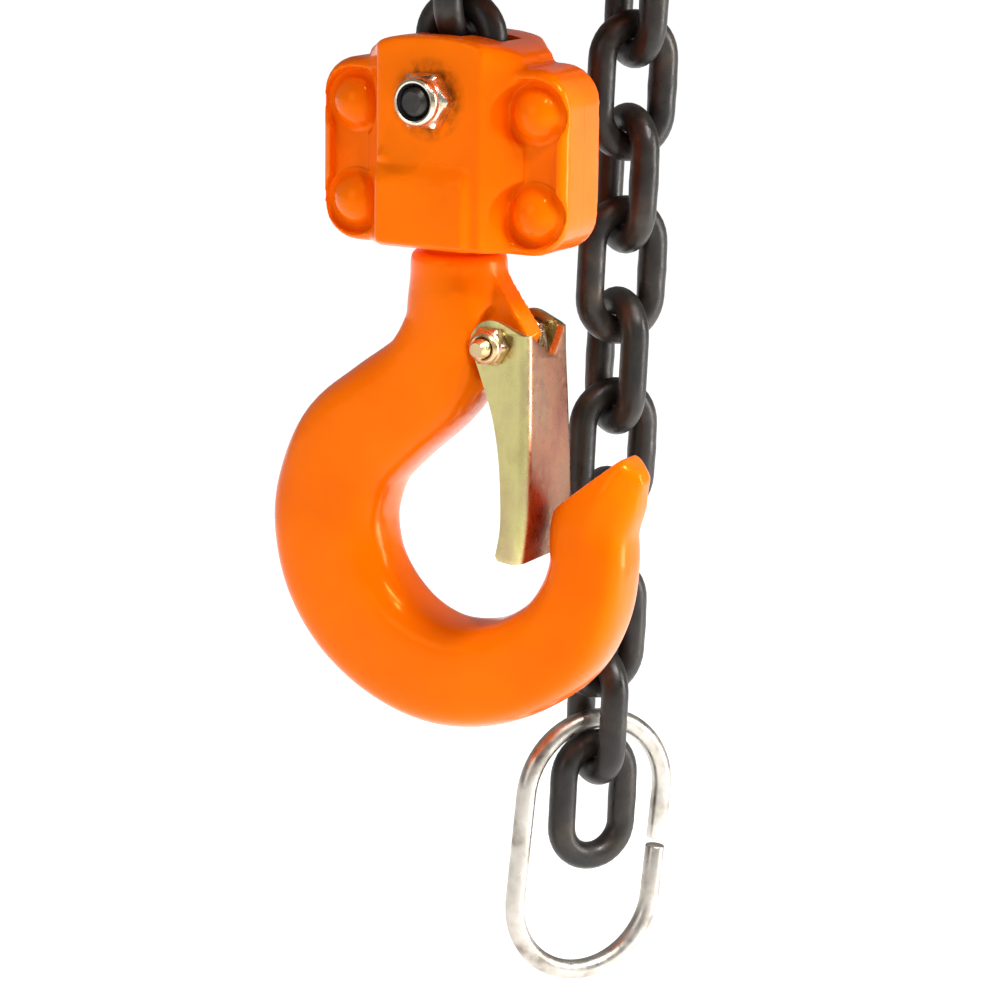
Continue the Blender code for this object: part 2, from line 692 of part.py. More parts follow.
def build_sheave(frame):
    standing_radius = math.sqrt(PITCH_RADIUS**2 - (STANDING_SPAN / 2) ** 2)
    flat_radius = math.sqrt(PITCH_RADIUS**2 - (FLAT_SPAN / 2) ** 2)
    groove = standing_radius - LINK_WIDTH / 2 - 0.9
    shape = (
        (11.9, -17.0), (11.9, -SHEAVE_HALF), (SHEAVE_RADIUS, -SHEAVE_HALF), (SHEAVE_RADIUS, -4.6),
        (groove, -3.6), (groove, 3.6), (SHEAVE_RADIUS, 4.6), (SHEAVE_RADIUS, SHEAVE_HALF),
        (11.9, SHEAVE_HALF), (11.9, 17.5), (8.6, 17.5), (8.6, 25.6), (7.3, 25.6), (7.3, -17.0),
    )
    sheave = add_piece("load_sheave", turned(shape, sides=24, bored=True), DARK_STEEL, frame)
    floor = flat_radius - CHAIN_WIRE / 2 - 1.3
    first = sheave_pocket_angle()
    for k in range(POCKETS):
        bm = prism(slot_outline(17.2, 11.2), floor, 45.0, axis="Z")
        turn = Matrix.Rotation(math.pi / 2 - first - k * math.pi / 2, 4, "Y")
        bmesh.ops.rotate(bm, cent=(0, 0, 0), matrix=turn, verts=bm.verts)
        change(sheave, bm)


def build_gears(frame):
    half_tooth = math.pi / GEAR_TEETH
    load_gear = add_piece("load_gear", prism(gear_outline(GEAR_TEETH), 18.2, 24.8), DARK_STEEL, frame)
    change(load_gear, rod(8.9, 10, 30, sides=24))
    for number, x in enumerate((-GEAR_CENTRES, GEAR_CENTRES), 1):
        wheel = prism(shifted(gear_outline(GEAR_TEETH, half_tooth), x, 0), 27.2, 32.0)
        gear = add_piece(f"intermediate_gear_{number}", wheel, DARK_STEEL, frame, (x, 0, 0))
        small = gear_outline(PINION_TEETH, math.pi / PINION_TEETH)
        change(gear, prism(shifted(small, x, 0), 18.0, 28.0), "UNION")
        change(gear, rod(2.9, 13.8, 34.6, centre=(x, 0), sides=12), "UNION")
    shaft = ((5.4, -62.0), (5.9, -61.4), (5.9, -25.2), (19.4, -25.2), (19.4, -21.6))
    shaft += ((6.6, -21.6), (6.6, 24.0), (3.4, 25.6), (3.4, 34.6))
    pinion = add_piece("pinion_shaft", turned(shaft, sides=20), BRIGHT_STEEL, frame)
    change(pinion, prism(gear_outline(PINION_TEETH), 23.0, 32.4), "UNION")


def pan_profile(radius, rim, low, depth, sheet, hole):
    """A pressed cover: rim on the side plate, wall and end with a hole."""
    out = low + depth
    return (
        (rim, low), (rim, low + sheet), (radius, low + sheet), (radius, out - 2.0), (radius - 2.0, out),
        (hole, out), (hole, out - sheet), (radius - 2.5, out - sheet),
        (radius - sheet, out - 2.5), (radius - sheet, low),
    )


def build_covers(frame):
    low = PLATE_OUT + GAP
    gear = add_piece("gear_cover", prism(slot_outline(42.5, 24.5, 8), low, low + 1.6), ORANGE, frame)
    change(gear, prism(slot_outline(40.5, 22.5, 8), low + 1.0, low + 19.0), "UNION")
    change(gear, prism(slot_outline(38.9, 20.9, 8), low - 1.0, low + 17.4))
    profile = pan_profile(34.8, 36.2, low, 17.6, 1.6, 14.5)
    brake = [(radius, -height) for radius, height in profile]
    add_piece("brake_cover", turned(brake, sides=24, bored=True), ORANGE, frame)


def ratchet_outline(teeth, root, tip):
    outline = []
    for i in range(teeth):
        angle = 2 * math.pi * i / teeth
        for radius, offset in ((root, 0.0), (tip, 0.05), (root + 0.6 * (tip - root), 0.2)):
            outline.append((radius * math.cos(angle + offset), radius * math.sin(angle + offset)))
    return outline


def ratchet_wheel_outline(teeth, root, tip):
    """Even, square-ended teeth, as on the wheel that the lever's pawl drives."""
    outline = []
    for i in range(teeth):
        for radius, offset in ((root, -0.3), (tip, -0.2), (tip, 0.2), (root, 0.3)):
            angle = 2 * math.pi * (i + offset) / teeth
            outline.append((radius * math.cos(angle), radius * math.sin(angle)))
    return outline


def build_brake(frame):
    teeth = prism(ratchet_outline(16, 20.6, 23.0), -29.2, -25.5)
    disc = add_piece("ratchet_disc", teeth, BRIGHT_STEEL, frame)
    change(disc, rod(12.4, -40, -10, sides=24))
    hub = ((12.1, -25.6), (12.1, -29.5), (19.4, -29.5), (19.4, -32.6), (13.6, -32.6))
    hub += ((13.6, -44.2), (11.0, -44.2), (11.0, -50.2))
    brake_hub = add_piece("brake_hub", turned(hub, sides=24), DARK_STEEL, frame)
    change(brake_hub, prism(ratchet_wheel_outline(10, 16.0, 18.8), -43.6, -37.2), "UNION")
    change(brake_hub, rod(6.2, -60.0, -20.0, sides=16))
    pawl = ((-3.6, -3.0), (0.0, -4.2), (3.6, -2.0), (4.2, 2.0))
    pawl += ((1.0, 4.2), (-6.0, 5.4), (-8.6, 4.2), (-5.0, 0.0))
    u, v = PAWL_AT
    outline = rounded(shifted(pawl, u, v), 0.8, 2)
    body = add_piece("ratchet_pawl", prism(outline, -29.2, -25.5), BRIGHT_STEEL, frame, (u, 0, v))
    change(body, rod(2.0, -26.0, -17.7, centre=PAWL_AT, sides=10), "UNION")


def build_hand_wheel(frame):
    """Eight-lobed knob with a ring-shaped recess in its face; only the rim is lobed."""
    profile = (
        (6.2, -50.8, 0), (26.0, -50.8, 1), (28.0, -52.0, 1), (28.4, -58.6, 1), (26.4, -60.6, 1),
        (22.5, -60.6, 0), (20.5, -56.5, 0), (10.5, -56.5, 0), (9.5, -60.6, 0), (6.2, -60.6, 0),
    )
    rings = []
    for radius, height, lobed in profile:
        ring = []
        for k in range(32):
            angle = 2 * math.pi * k / 32
            reach = radius + lobed * 1.6 * math.cos(8 * angle)
            ring.append(Vector((reach * math.cos(angle), height, reach * math.sin(angle))))
        rings.append(ring)
    add_piece("hand_wheel", loft(rings, closed=True), ORANGE, frame)


def build_lever(frame):
    """Lever along its own +X, in a frame turned up about the sheave's axle."""
    hub = ((-20.0, -20.0), (12.0, -27.0), (52.0, -12.0), (52.0, 12.0), (12.0, 27.0), (-20.0, 20.0))
    lever = add_piece("lever_arm", prism(rounded(hub, 9.0, 4), -47.4, -35.6), ORANGE, frame)
    blade = ((44.0, -11.0), (80.0, -8.5), (235.0, -7.0), (235.0, 7.0), (80.0, 8.5), (44.0, 11.0))
    change(lever, prism(blade, -46.0, -37.0), "UNION")
    change(lever, rod(20.0, -45.6, -37.0, sides=24))
    change(lever, rod(14.4, -60, -30, sides=24))
    change(lever, rod(2.3, -60, -30, centre=(SELECTOR_X, 0), sides=12))
    length = LEVER_LENGTH - 140.0
    swells = ((0.0, 0.9), (2.0, 1.0), (30.0, 0.92), (60.0, 1.0), (90.0, 0.95))
    swells += ((length - 3, 1.0), (length, 0.8))
    rings = []
    for x, size in swells:
        ring = []
        for k in range(16):
            angle = 2 * math.pi * k / 16
            across, up = 9.0 * size * math.sin(angle), 13.0 * size * math.cos(angle)
            ring.append(Vector((140.0 + x, across - 41.5, up)))
        rings.append(ring)
    grip = add_piece("lever_grip", loft(rings), BLACK_RUBBER, frame)
    change(grip, prism(box_outline(130.0, -9.0, 235.4, 9.0), -46.3, -36.7))
    thumb = ((-6.0, -6.5), (6.0, -6.5), (10.0, 0.0), (24.0, 3.0), (24.0, 9.0), (6.0, 7.0), (-6.0, 6.5))
    thumb = shifted(rounded(thumb, 2.0, 2), SELECTOR_X, 0)
    selector = add_piece("selector_lever", prism(thumb, -51.4, -47.8), BLACK_CHAIN, frame, (SELECTOR_X, 0, 0))
    change(selector, rod(2.0, -49.0, -34.0, centre=(SELECTOR_X, 0), sides=12), "UNION")


def main():
    clear_scene()
    slack = build_chain()
    build_end_ring(slack)
    block = new_frame("block_axis", (0, 0, -SADDLE_TO_PIN), (0, 0, BLOCK_TURN))
    build_block(block)
    build_bottom_hook(new_frame("bottom_hook_axis", (0, 0, -COLLAR_BELOW_PIN), parent=block))
    build_frame(new_frame("body_axis", (0, 0, -SADDLE_TO_PIN)))
    build_top_hook(new_frame("top_hook_axis", (0, 0, -HOOK_DROP), (0, math.pi, 0)))
    axle = new_frame("sheave_axis", (SHEAVE_X, 0, SHEAVE_Z - SADDLE_TO_PIN))
    build_sheave(axle)
    build_gears(axle)
    build_covers(axle)
    build_brake(axle)
    build_hand_wheel(axle)
    build_lever(new_frame("lever_axis", (0, 0, 0), (0, -LEVER_ANGLE, 0), parent=axle))


main()
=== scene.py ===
"""Looks of the lever chain hoist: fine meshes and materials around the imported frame.

Shapes are drawn in millimetres in the local frame of the assembly they belong to, and each piece's
placement turns them into metres in the row frame. Heights called z in the block and body frames are
counted from the chain pin.
"""
import json
import math

import bmesh
import bpy
import numpy as np
from mathutils import Matrix, Vector


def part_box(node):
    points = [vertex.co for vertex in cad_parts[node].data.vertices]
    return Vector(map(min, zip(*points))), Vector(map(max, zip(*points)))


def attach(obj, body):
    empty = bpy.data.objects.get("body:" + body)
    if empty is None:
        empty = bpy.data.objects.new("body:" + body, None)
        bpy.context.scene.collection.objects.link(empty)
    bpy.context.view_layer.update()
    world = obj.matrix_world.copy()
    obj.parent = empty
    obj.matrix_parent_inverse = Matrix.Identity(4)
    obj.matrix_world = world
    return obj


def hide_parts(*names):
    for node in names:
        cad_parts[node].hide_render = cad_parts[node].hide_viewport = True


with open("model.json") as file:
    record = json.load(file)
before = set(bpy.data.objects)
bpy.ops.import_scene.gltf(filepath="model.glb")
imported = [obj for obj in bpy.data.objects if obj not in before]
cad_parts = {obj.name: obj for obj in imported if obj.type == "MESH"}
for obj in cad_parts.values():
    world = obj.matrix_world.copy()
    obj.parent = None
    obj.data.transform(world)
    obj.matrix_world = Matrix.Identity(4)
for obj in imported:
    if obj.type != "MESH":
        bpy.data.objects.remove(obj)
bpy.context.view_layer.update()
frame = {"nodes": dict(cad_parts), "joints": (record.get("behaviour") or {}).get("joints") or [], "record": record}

MM = 0.001
GAP = 0.3
JOINTS = {joint["name"]: joint for joint in frame["joints"]}
BODY_OF = {node: body for body, nodes in frame["record"]["behaviour"]["bodies"].items() for node in nodes}
SLOT_OF = {part["node"]: part["material_slot"] for part in frame["record"]["subparts"]}

# Driving dimensions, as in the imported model
CHAIN_WIRE = 5.8
LINK_INNER_LENGTH = 19.1
LINK_WIDTH = 20.0
BLOCK_FRONT = 12.6
PIN_RADIUS = 3.7
RIVET_X = 20.3
RIVET_Z = (-2.2, -21.6)
COLLAR_BELOW_PIN = 30.0
LATCH_PIVOT = (12.6, -17.7)
LATCH_HALF = 9.0
LATCH_FLARE = 1.8
LATCH_SHEET = 1.4
PLATE_IN = 13.3
PLATE_OUT = 17.3
YOKE_BOLTS = ((-18.0, 120.5), (18.0, 120.5))
STAY_BOLT = (64.0, 57.0)
SHEAVE_HALF = 12.8
GEAR_CENTRES = 20.0
SELECTOR_X = 42.0

# Hook forging in its own plane: (x, height above the chain pin, half width, half thickness)
HOOK_SPINE = (
    (0.0, -34.4, 9.8, 9.6),
    (0.2, -40.0, 10.3, 9.6),
    (-0.2, -47.5, 10.7, 9.3),
    (-4.9, -56.9, 11.1, 9.2),
    (-15.2, -65.6, 11.8, 9.1),
    (-23.1, -72.8, 12.5, 9.0),
    (-27.0, -80.7, 12.7, 9.0),
    (-28.5, -89.3, 12.9, 9.0),
    (-26.5, -99.3, 12.9, 9.0),
    (-21.1, -107.8, 12.6, 9.1),
    (-12.9, -114.3, 11.9, 9.1),
    (-3.2, -117.7, 11.4, 9.0),
    (6.8, -117.4, 10.9, 8.8),
    (16.3, -114.1, 10.3, 8.5),
    (24.8, -107.9, 9.9, 8.2),
    (29.7, -99.9, 9.2, 7.8),
    (31.7, -91.4, 8.5, 7.4),
    (31.6, -83.4, 8.7, 7.1),
    (34.7, -75.0, 8.2, 6.4),
    (38.3, -69.8, 5.8, 4.8),
)
LOWER_SHANK = ((9.6, 15.6), (9.9, 15.0), (9.9, 4.6), (6.8, 4.3), (6.8, -0.8), (9.1, -1.1), (9.7, -2.4))
UPPER_SHANK = ((5.2, 26.4), (5.9, 25.6), (5.9, 0.3), (9.0, 0.0), (9.6, -1.4))
BEAK_CORNER = (22.6, -51.6)
BEAK_TIP = (40.2, -37.4)


# ---------------------------------------------------------------- placements


def joint_point(name):
    return Vector(JOINTS[name]["pos_m"])


def place(origin, y_axis=(0, 1, 0), z_axis=(0, 0, 1)):
    """Local millimetres to row metres, for a frame at origin (in metres)."""
    y = Vector(y_axis).normalized()
    z = Vector(z_axis).normalized()
    x = y.cross(z)
    matrix = Matrix((x, y, z)).transposed().to_4x4() @ Matrix.Scale(MM, 4)
    matrix.translation = origin
    return matrix


def raised(matrix, x=0.0, y=0.0, z=0.0):
    return matrix @ Matrix.Translation((x, y, z))


BLOCK = place(joint_point("block_hinge"), JOINTS["block_hinge"]["axis"])
HOOK = raised(BLOCK, z=-COLLAR_BELOW_PIN)
BODY = place(joint_point("block_hinge"))
AXLE = place(joint_point("sheave_turn"))
_upper = place(joint_point("top_latch_hinge"), z_axis=(0, 0, -1))
UPPER_HOOK = raised(_upper, -LATCH_PIVOT[0], 0, -LATCH_PIVOT[1])
_lever = joint_point("selector_turn") - joint_point("sheave_turn")
LEVER = AXLE @ Matrix.Rotation(-math.atan2(_lever.z, _lever.x), 4, "Y")


# ---------------------------------------------------------------- shapes


def on_axis(axis, u, v, h):
    """(u, v) across the axis and h along it."""
    if axis == "Z":
        return (u, v, h)
    if axis == "X":
        return (h, u, v)
    return (u, h, v)


def skin(rings, closed=False):
    """Points and faces of a skin over rings, capped at both ends unless it closes on itself."""
    count = len(rings[0])
    points = [tuple(point) for ring in rings for point in ring]
    steps = len(rings) if closed else len(rings) - 1
    faces = []
    for i in range(steps):
        low, high = i * count, (i + 1) % len(rings) * count
        for k in range(count):
            n = (k + 1) % count
            faces.append((low + k, low + n, high + n, high + k))
    if not closed:
        faces.append(tuple(reversed(range(count))))
        faces.append(tuple(range((len(rings) - 1) * count, len(rings) * count)))
    return points, faces


def turned(profile, axis="Y", centre=(0.0, 0.0), sides=64, bored=False, reach=None):
    """A turned solid from (radius, height) points; reach may change the radius with the angle."""
    rings = []
    for radius, height in profile:
        ring = []
        for i in range(sides):
            angle = 2 * math.pi * i / sides
            r = reach(radius, height, angle) if reach else radius
            ring.append(on_axis(axis, centre[0] + r * math.cos(angle), centre[1] + r * math.sin(angle), height))
        rings.append(ring)
    return skin(rings, closed=bored)


def rod(radius, low, high, axis="Y", centre=(0.0, 0.0), sides=48):
    return turned(((radius, low), (radius, high)), axis, centre, sides)


def prism(outline, low, high, axis="Y"):
    return skin([[on_axis(axis, u, v, h) for u, v in outline] for h in (low, high)])


def rounded(points, radius, steps=6):
    """A polygon with its corners rounded by arcs."""
    outline = []
    count = len(points)
    for i in range(count):
        corner = Vector(points[i])
        back = (Vector(points[i - 1]) - corner).normalized()
        ahead = (Vector(points[(i + 1) % count]) - corner).normalized()
        half = back.angle(ahead) / 2
        arm = radius / math.tan(half)
        middle = corner + (back + ahead).normalized() * (radius / math.sin(half))
        start = corner + back * arm - middle
        sweep = start.angle_signed(corner + ahead * arm - middle)
        for k in range(steps + 1):
            outline.append(tuple(middle + Matrix.Rotation(-sweep * k / steps, 2) @ start))
    return outline


def box_outline(x0, z0, x1, z1):
    return ((x0, z0), (x1, z0), (x1, z1), (x0, z1))


def slot_outline(half_length, half_width, steps=16):
    outline = []
    for side in (1, -1):
        for k in range(steps + 1):
            angle = -math.pi / 2 + math.pi * k / steps
            u = side * (half_length - half_width + half_width * math.cos(angle))
            outline.append((u, side * half_width * math.sin(angle)))
    return outline


def soft_prism(outline_at, low, high, edge, both=True, steps=5):
    """A prism along Y with rounded rims; outline_at(inset) gives its outline drawn in by inset."""
    turns = [math.pi / 2 * k / steps for k in range(steps + 1)]
    ends = [(edge * (1 - math.sin(t)), edge * (1 - math.cos(t))) for t in turns]
    rings = []
    if both:
        rings += [(inset, low + depth) for inset, depth in reversed([(e[1], e[0]) for e in ends])][::-1]
    else:
        rings.append((0.0, low))
    rings += [(inset, high - depth) for inset, depth in [(e[1], e[0]) for e in ends]]
    if both:
        rings = sorted(rings[: steps + 1], key=lambda r: r[1]) + rings[steps + 1 :]
    return skin([[(u, y, v) for u, v in outline_at(inset)] for inset, y in rings])


def tube(path, radius, sides=16, closed=False):
    """A round wire along a path, its sections carried along without twisting."""
    count = len(path)
    points = [Vector(point) for point in path]
    across = None
    rings = []
    for i, point in enumerate(points):
        before = points[i - 1] if closed or i else point
        after = points[(i + 1) % count] if closed or i < count - 1 else point
        along = (after - before).normalized()
        if across is None:
            across = along.orthogonal().normalized()
        across = (across - along * across.dot(along)).normalized()
        other = along.cross(across)
        r = radius(i / count) if callable(radius) else radius
        angles = [2 * math.pi * k / sides for k in range(sides)]
        rings.append([point + (across * math.cos(a) + other * math.sin(a)) * r for a in angles])
    return skin(rings, closed=closed)


def oval_path(half_width, half_length, steps):
    """A stadium in the XZ plane about the origin, long along Z."""
    straight = half_length - half_width
    path = []
    for end in (1, -1):
        for k in range(steps + 1):
            angle = math.pi * k / steps
            path.append((end * half_width * math.cos(angle), 0.0, end * (straight + half_width * math.sin(angle))))
        for k in (1, 2, 3):
            path.append((-end * half_width, 0.0, end * straight * (1 - k / 2)))
    return path


def curve_through(points, steps):
    """Catmull-Rom curve through the given points."""
    count = len(points)
    result = []
    for i in range(count - 1):
        a, b, c, d = (Vector(points[min(max(i + k, 0), count - 1)]) for k in (-1, 0, 1, 2))
        for k in range(steps):
            t = k / steps
            result.append(0.5 * (2 * b + (c - a) * t + (2 * a - 5 * b + 4 * c - d) * t**2 + (3 * b - a - 3 * c + d) * t**3))
    result.append(Vector(points[-1]))
    return result


# ---------------------------------------------------------------- objects


def new_object(name, solids, placement):
    points, faces = [], []
    for solid_points, solid_faces in solids:
        start = len(points)
        points += [placement @ Vector(point) for point in solid_points]
        faces += [tuple(start + i for i in face) for face in solid_faces]
    mesh = bpy.data.meshes.new(name)
    mesh.from_pydata(points, [], faces)
    obj = bpy.data.objects.new(name, mesh)
    bpy.context.scene.collection.objects.link(obj)
    outward(mesh)
    return obj


def outward(mesh):
    """Turns the faces of each closed shell outwards."""
    bm = bmesh.new()
    bm.from_mesh(mesh)
    bmesh.ops.recalc_face_normals(bm, faces=bm.faces)
    bm.to_mesh(mesh)
    bm.free()


def settle(obj):
    """Makes the modifiers' result the object's mesh."""
    graph = bpy.context.evaluated_depsgraph_get()
    mesh = bpy.data.meshes.new_from_object(obj.evaluated_get(graph))
    obj.modifiers.clear()
    obj.data = mesh


def combine(obj, solid, placement, operation):
    """Boolean with one more solid."""
    tool = new_object(obj.name + "_tool", [solid], placement)
    boolean = obj.modifiers.new("Boolean", "BOOLEAN")
    boolean.operation = operation
    boolean.object = tool
    boolean.solver = "EXACT"
    settle(obj)
    bpy.data.objects.remove(tool, do_unlink=True)


def cast(obj, voxel, rounds):
    """Melts hard corners as casting or forging does."""
    remesh = obj.modifiers.new("Remesh", "REMESH")
    remesh.mode = "VOXEL"
    remesh.voxel_size = voxel * MM
    smooth = obj.modifiers.new("Smooth", "SMOOTH")
    smooth.factor = 0.5
    smooth.iterations = rounds
    settle(obj)


def bevel(obj, width, segments=3, angle=30):
    modifier = obj.modifiers.new("Bevel", "BEVEL")
    modifier.width = width * MM
    modifier.segments = segments
    modifier.limit_method = "ANGLE"
    modifier.angle_limit = math.radians(angle)
    settle(obj)


def hand_over(obj, node, material, sharp=38, also=(), body=None):
    """Gives a finished piece its material and its body, and hides the imported node that it stands for unless a
    body is given.
    """
    obj.data.materials.clear()
    obj.data.materials.append(material)
    obj.data.shade_smooth()
    obj.data.set_sharp_from_angle(angle=math.radians(sharp))
    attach(obj, body or BODY_OF[node])
    if body is None:
        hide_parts(node, *also)
    return obj


# ---------------------------------------------------------------- materials


class Finish:
    """A Principled material with a few helpers for its noise, colour and bump."""

    def __init__(self, name, colour, roughness, metallic=0.0, coat=0.0):
        self.material = bpy.data.materials.new(name)
        self.material.use_nodes = True
        self.tree = self.material.node_tree
        self.shader = self.tree.nodes["Principled BSDF"]
        self.shader.inputs["Base Color"].default_value = (*colour, 1.0)
        self.shader.inputs["Roughness"].default_value = roughness
        self.shader.inputs["Metallic"].default_value = metallic
        self.shader.inputs["Coat Weight"].default_value = coat
        self.shader.inputs["Coat Roughness"].default_value = 0.08
        self.coords = self.tree.nodes.new("ShaderNodeTexCoord").outputs["Object"]

    def link(self, a, b):
        self.tree.links.new(a, b)

    def noise(self, size, detail=4.0, stretch=(1.0, 1.0, 1.0)):
        """Noise with features about size mm across, longer where stretch is under 1."""
        mapping = self.tree.nodes.new("ShaderNodeMapping")
        mapping.inputs["Scale"].default_value = stretch
        texture = self.tree.nodes.new("ShaderNodeTexNoise")
        texture.inputs["Scale"].default_value = 1 / (size * MM)
        texture.inputs["Detail"].default_value = detail
        self.link(self.coords, mapping.inputs["Vector"])
        self.link(mapping.outputs["Vector"], texture.inputs["Vector"])
        return texture.outputs["Fac"]

    def ramp(self, value, stops):
        node = self.tree.nodes.new("ShaderNodeValToRGB")
        while len(node.color_ramp.elements) < len(stops):
            node.color_ramp.elements.new(0.5)
        for element, (position, colour) in zip(node.color_ramp.elements, stops):
            element.position = position
            element.color = (*colour, 1.0)
        self.link(value, node.inputs["Fac"])
        return node.outputs["Color"]

    def near(self, centre, inner, outer):
        """1 within inner mm of a point of the row frame, falling to 0 at outer mm."""
        distance = self.tree.nodes.new("ShaderNodeVectorMath")
        distance.operation = "DISTANCE"
        distance.inputs[1].default_value = centre
        self.link(self.coords, distance.inputs[0])
        fall = self.tree.nodes.new("ShaderNodeMapRange")
        fall.inputs["From Min"].default_value = outer * MM
        fall.inputs["From Max"].default_value = inner * MM
        self.link(distance.outputs["Value"], fall.inputs["Value"])
        return fall.outputs["Result"]

    def product(self, a, b):
        node = self.tree.nodes.new("ShaderNodeMath")
        node.operation = "MULTIPLY"
        self.link(a, node.inputs[0])
        self.link(b, node.inputs[1])
        return node.outputs["Value"]

    def mix(self, share, first, second):
        node = self.tree.nodes.new("ShaderNodeMix")
        node.data_type = "RGBA"
        self.link(share, node.inputs["Factor"])
        for colour, socket in ((first, node.inputs[6]), (second, node.inputs[7])):
            if isinstance(colour, tuple):
                socket.default_value = (*colour, 1.0)
            else:
                self.link(colour, socket)
        return node.outputs[2]

    def colour(self, value):
        self.link(value, self.shader.inputs["Base Color"])

    def roughness(self, value, low, high):
        node = self.tree.nodes.new("ShaderNodeMapRange")
        node.inputs["From Min"].default_value = 0.3
        node.inputs["From Max"].default_value = 0.7
        node.inputs["To Min"].default_value = low
        node.inputs["To Max"].default_value = high
        self.link(value, node.inputs["Value"])
        self.link(node.outputs["Result"], self.shader.inputs["Roughness"])

    def bump(self, layers):
        """Bump from (height, depth in mm) layers."""
        normal = None
        for height, depth in layers:
            node = self.tree.nodes.new("ShaderNodeBump")
            node.inputs["Distance"].default_value = depth * MM
            node.inputs["Strength"].default_value = 1.0
            self.link(height, node.inputs["Height"])
            if normal is not None:
                self.link(normal, node.inputs["Normal"])
            normal = node.outputs["Normal"]
        self.link(normal, self.shader.inputs["Normal"])


def orange_enamel(name, shade_rings=()):
    """Thick glossy enamel over a rough casting; each (centre, inner, outer) entry of the last argument paints shade
    as dark orange blotches round a part's base.
    """
    finish = Finish(name, (0.93, 0.14, 0.0), 0.2)
    finish.shader.inputs["Specular Tint"].default_value = (1.0, 0.42, 0.06, 1.0)
    finish.shader.inputs["Specular IOR Level"].default_value = 0.5
    broad = finish.noise(24.0, 3.0)
    colour = finish.ramp(broad, [(0.3, (0.86, 0.128, 0.0)), (0.7, (0.97, 0.165, 0.0))])
    blotch = finish.noise(2.2, 6.0)
    # Painted shade: dark orange blotches that fade from inner to outer mm round each given centre, at the base of a
    # seated part
    for centre, inner, outer in shade_rings:
        shade_patches = finish.ramp(blotch, [(0.35, (0, 0, 0)), (0.62, (1, 1, 1))])
        share = finish.product(finish.near(centre, inner, outer), shade_patches)
        colour = finish.mix(share, colour, (0.2, 0.045, 0.004))
    finish.colour(colour)
    finish.roughness(finish.noise(9.0, 5.0), 0.12, 0.26)
    finish.bump([(finish.noise(8.0, 2.0), 0.22), (finish.noise(1.8, 3.0), 0.014)])
    return finish.material


def black_chain():
    finish = Finish("black_chain_oxide", (0.02, 0.017, 0.014), 0.36, metallic=0.35)
    patches = finish.noise(7.0, 6.0)
    stops = [(0.32, (0.012, 0.011, 0.010)), (0.55, (0.024, 0.020, 0.016)), (0.75, (0.055, 0.040, 0.028))]
    finish.colour(finish.ramp(patches, stops))
    finish.roughness(finish.noise(2.5, 6.0), 0.26, 0.5)
    finish.bump([(finish.noise(1.1, 6.0), 0.05), (finish.noise(6.0, 2.0), 0.12)])
    return finish.material


def yellow_zinc():
    finish = Finish("yellow_zinc_plate", (0.6, 0.48, 0.22), 0.3, metallic=1.0)
    bands = finish.noise(11.0, 4.0, (1.0, 1.0, 0.35))
    stops = [(0.3, (0.50, 0.42, 0.16)), (0.45, (0.66, 0.58, 0.27))]
    stops += [(0.58, (0.62, 0.44, 0.25)), (0.72, (0.45, 0.27, 0.19))]
    finish.colour(finish.ramp(bands, stops))
    finish.roughness(finish.noise(1.2, 6.0), 0.2, 0.42)
    finish.bump([(finish.noise(0.5, 3.0, (1.0, 1.0, 0.12)), 0.010), (finish.noise(5.0, 2.0), 0.05)])
    return finish.material


def red_zinc(latch_place):
    """The latch's chromate: olive gold on its sides, turning red-brown across the spine."""
    finish = Finish("red_zinc_plate_" + str(len(bpy.data.materials)), (0.5, 0.3, 0.2), 0.34, metallic=1.0)
    bands = finish.noise(8.0, 5.0, (1.0, 1.0, 0.5))
    golds = [(0.3, (0.42, 0.36, 0.13)), (0.5, (0.58, 0.52, 0.22)), (0.7, (0.50, 0.38, 0.20))]
    browns = [(0.3, (0.34, 0.13, 0.085)), (0.5, (0.42, 0.19, 0.11)), (0.7, (0.33, 0.20, 0.13))]
    gold = finish.ramp(bands, golds)
    brown = finish.ramp(bands, browns)
    inside = latch_place.inverted()
    normal = finish.tree.nodes.new("ShaderNodeVectorMath")
    normal.operation = "DOT_PRODUCT"
    facing = (latch_place.to_3x3() @ Vector((1, 0, 0))).normalized()
    normal.inputs[1].default_value = facing
    geometry = finish.tree.nodes.new("ShaderNodeTexCoord")
    finish.link(geometry.outputs["Normal"], normal.inputs[0])
    share = finish.tree.nodes.new("ShaderNodeMapRange")
    share.inputs["From Min"].default_value = 0.75
    share.inputs["From Max"].default_value = 0.98
    finish.link(normal.outputs["Value"], share.inputs["Value"])
    finish.colour(finish.mix(share.outputs["Result"], gold, brown))
    finish.roughness(finish.noise(1.5, 6.0), 0.22, 0.42)
    finish.bump([(finish.noise(0.6, 3.0, (1.0, 1.0, 0.12)), 0.012), (finish.noise(6.0, 2.0), 0.06)])
    return finish.material


def plated_nut():
    finish = Finish("pale_zinc_plate", (0.72, 0.65, 0.5), 0.2, metallic=1.0)
    stops = [(0.3, (0.50, 0.38, 0.24)), (0.5, (0.76, 0.69, 0.54)), (0.7, (0.85, 0.80, 0.68))]
    finish.colour(finish.ramp(finish.noise(2.5, 5.0), stops))
    finish.roughness(finish.noise(1.0, 5.0), 0.14, 0.34)
    finish.bump([(finish.noise(0.4, 3.0), 0.008)])
    return finish.material


def bright_steel():
    finish = Finish("satin_steel", (0.6, 0.56, 0.5), 0.3, metallic=1.0)
    smudge = finish.noise(6.0, 7.0)
    stops = [(0.3, (0.27, 0.23, 0.19)), (0.45, (0.52, 0.48, 0.42)), (0.7, (0.68, 0.64, 0.58))]
    finish.colour(finish.ramp(smudge, stops))
    finish.roughness(finish.noise(2.0, 6.0), 0.24, 0.46)
    finish.bump([(finish.noise(0.5, 4.0), 0.012), (finish.noise(4.0, 2.0), 0.05)])
    return finish.material


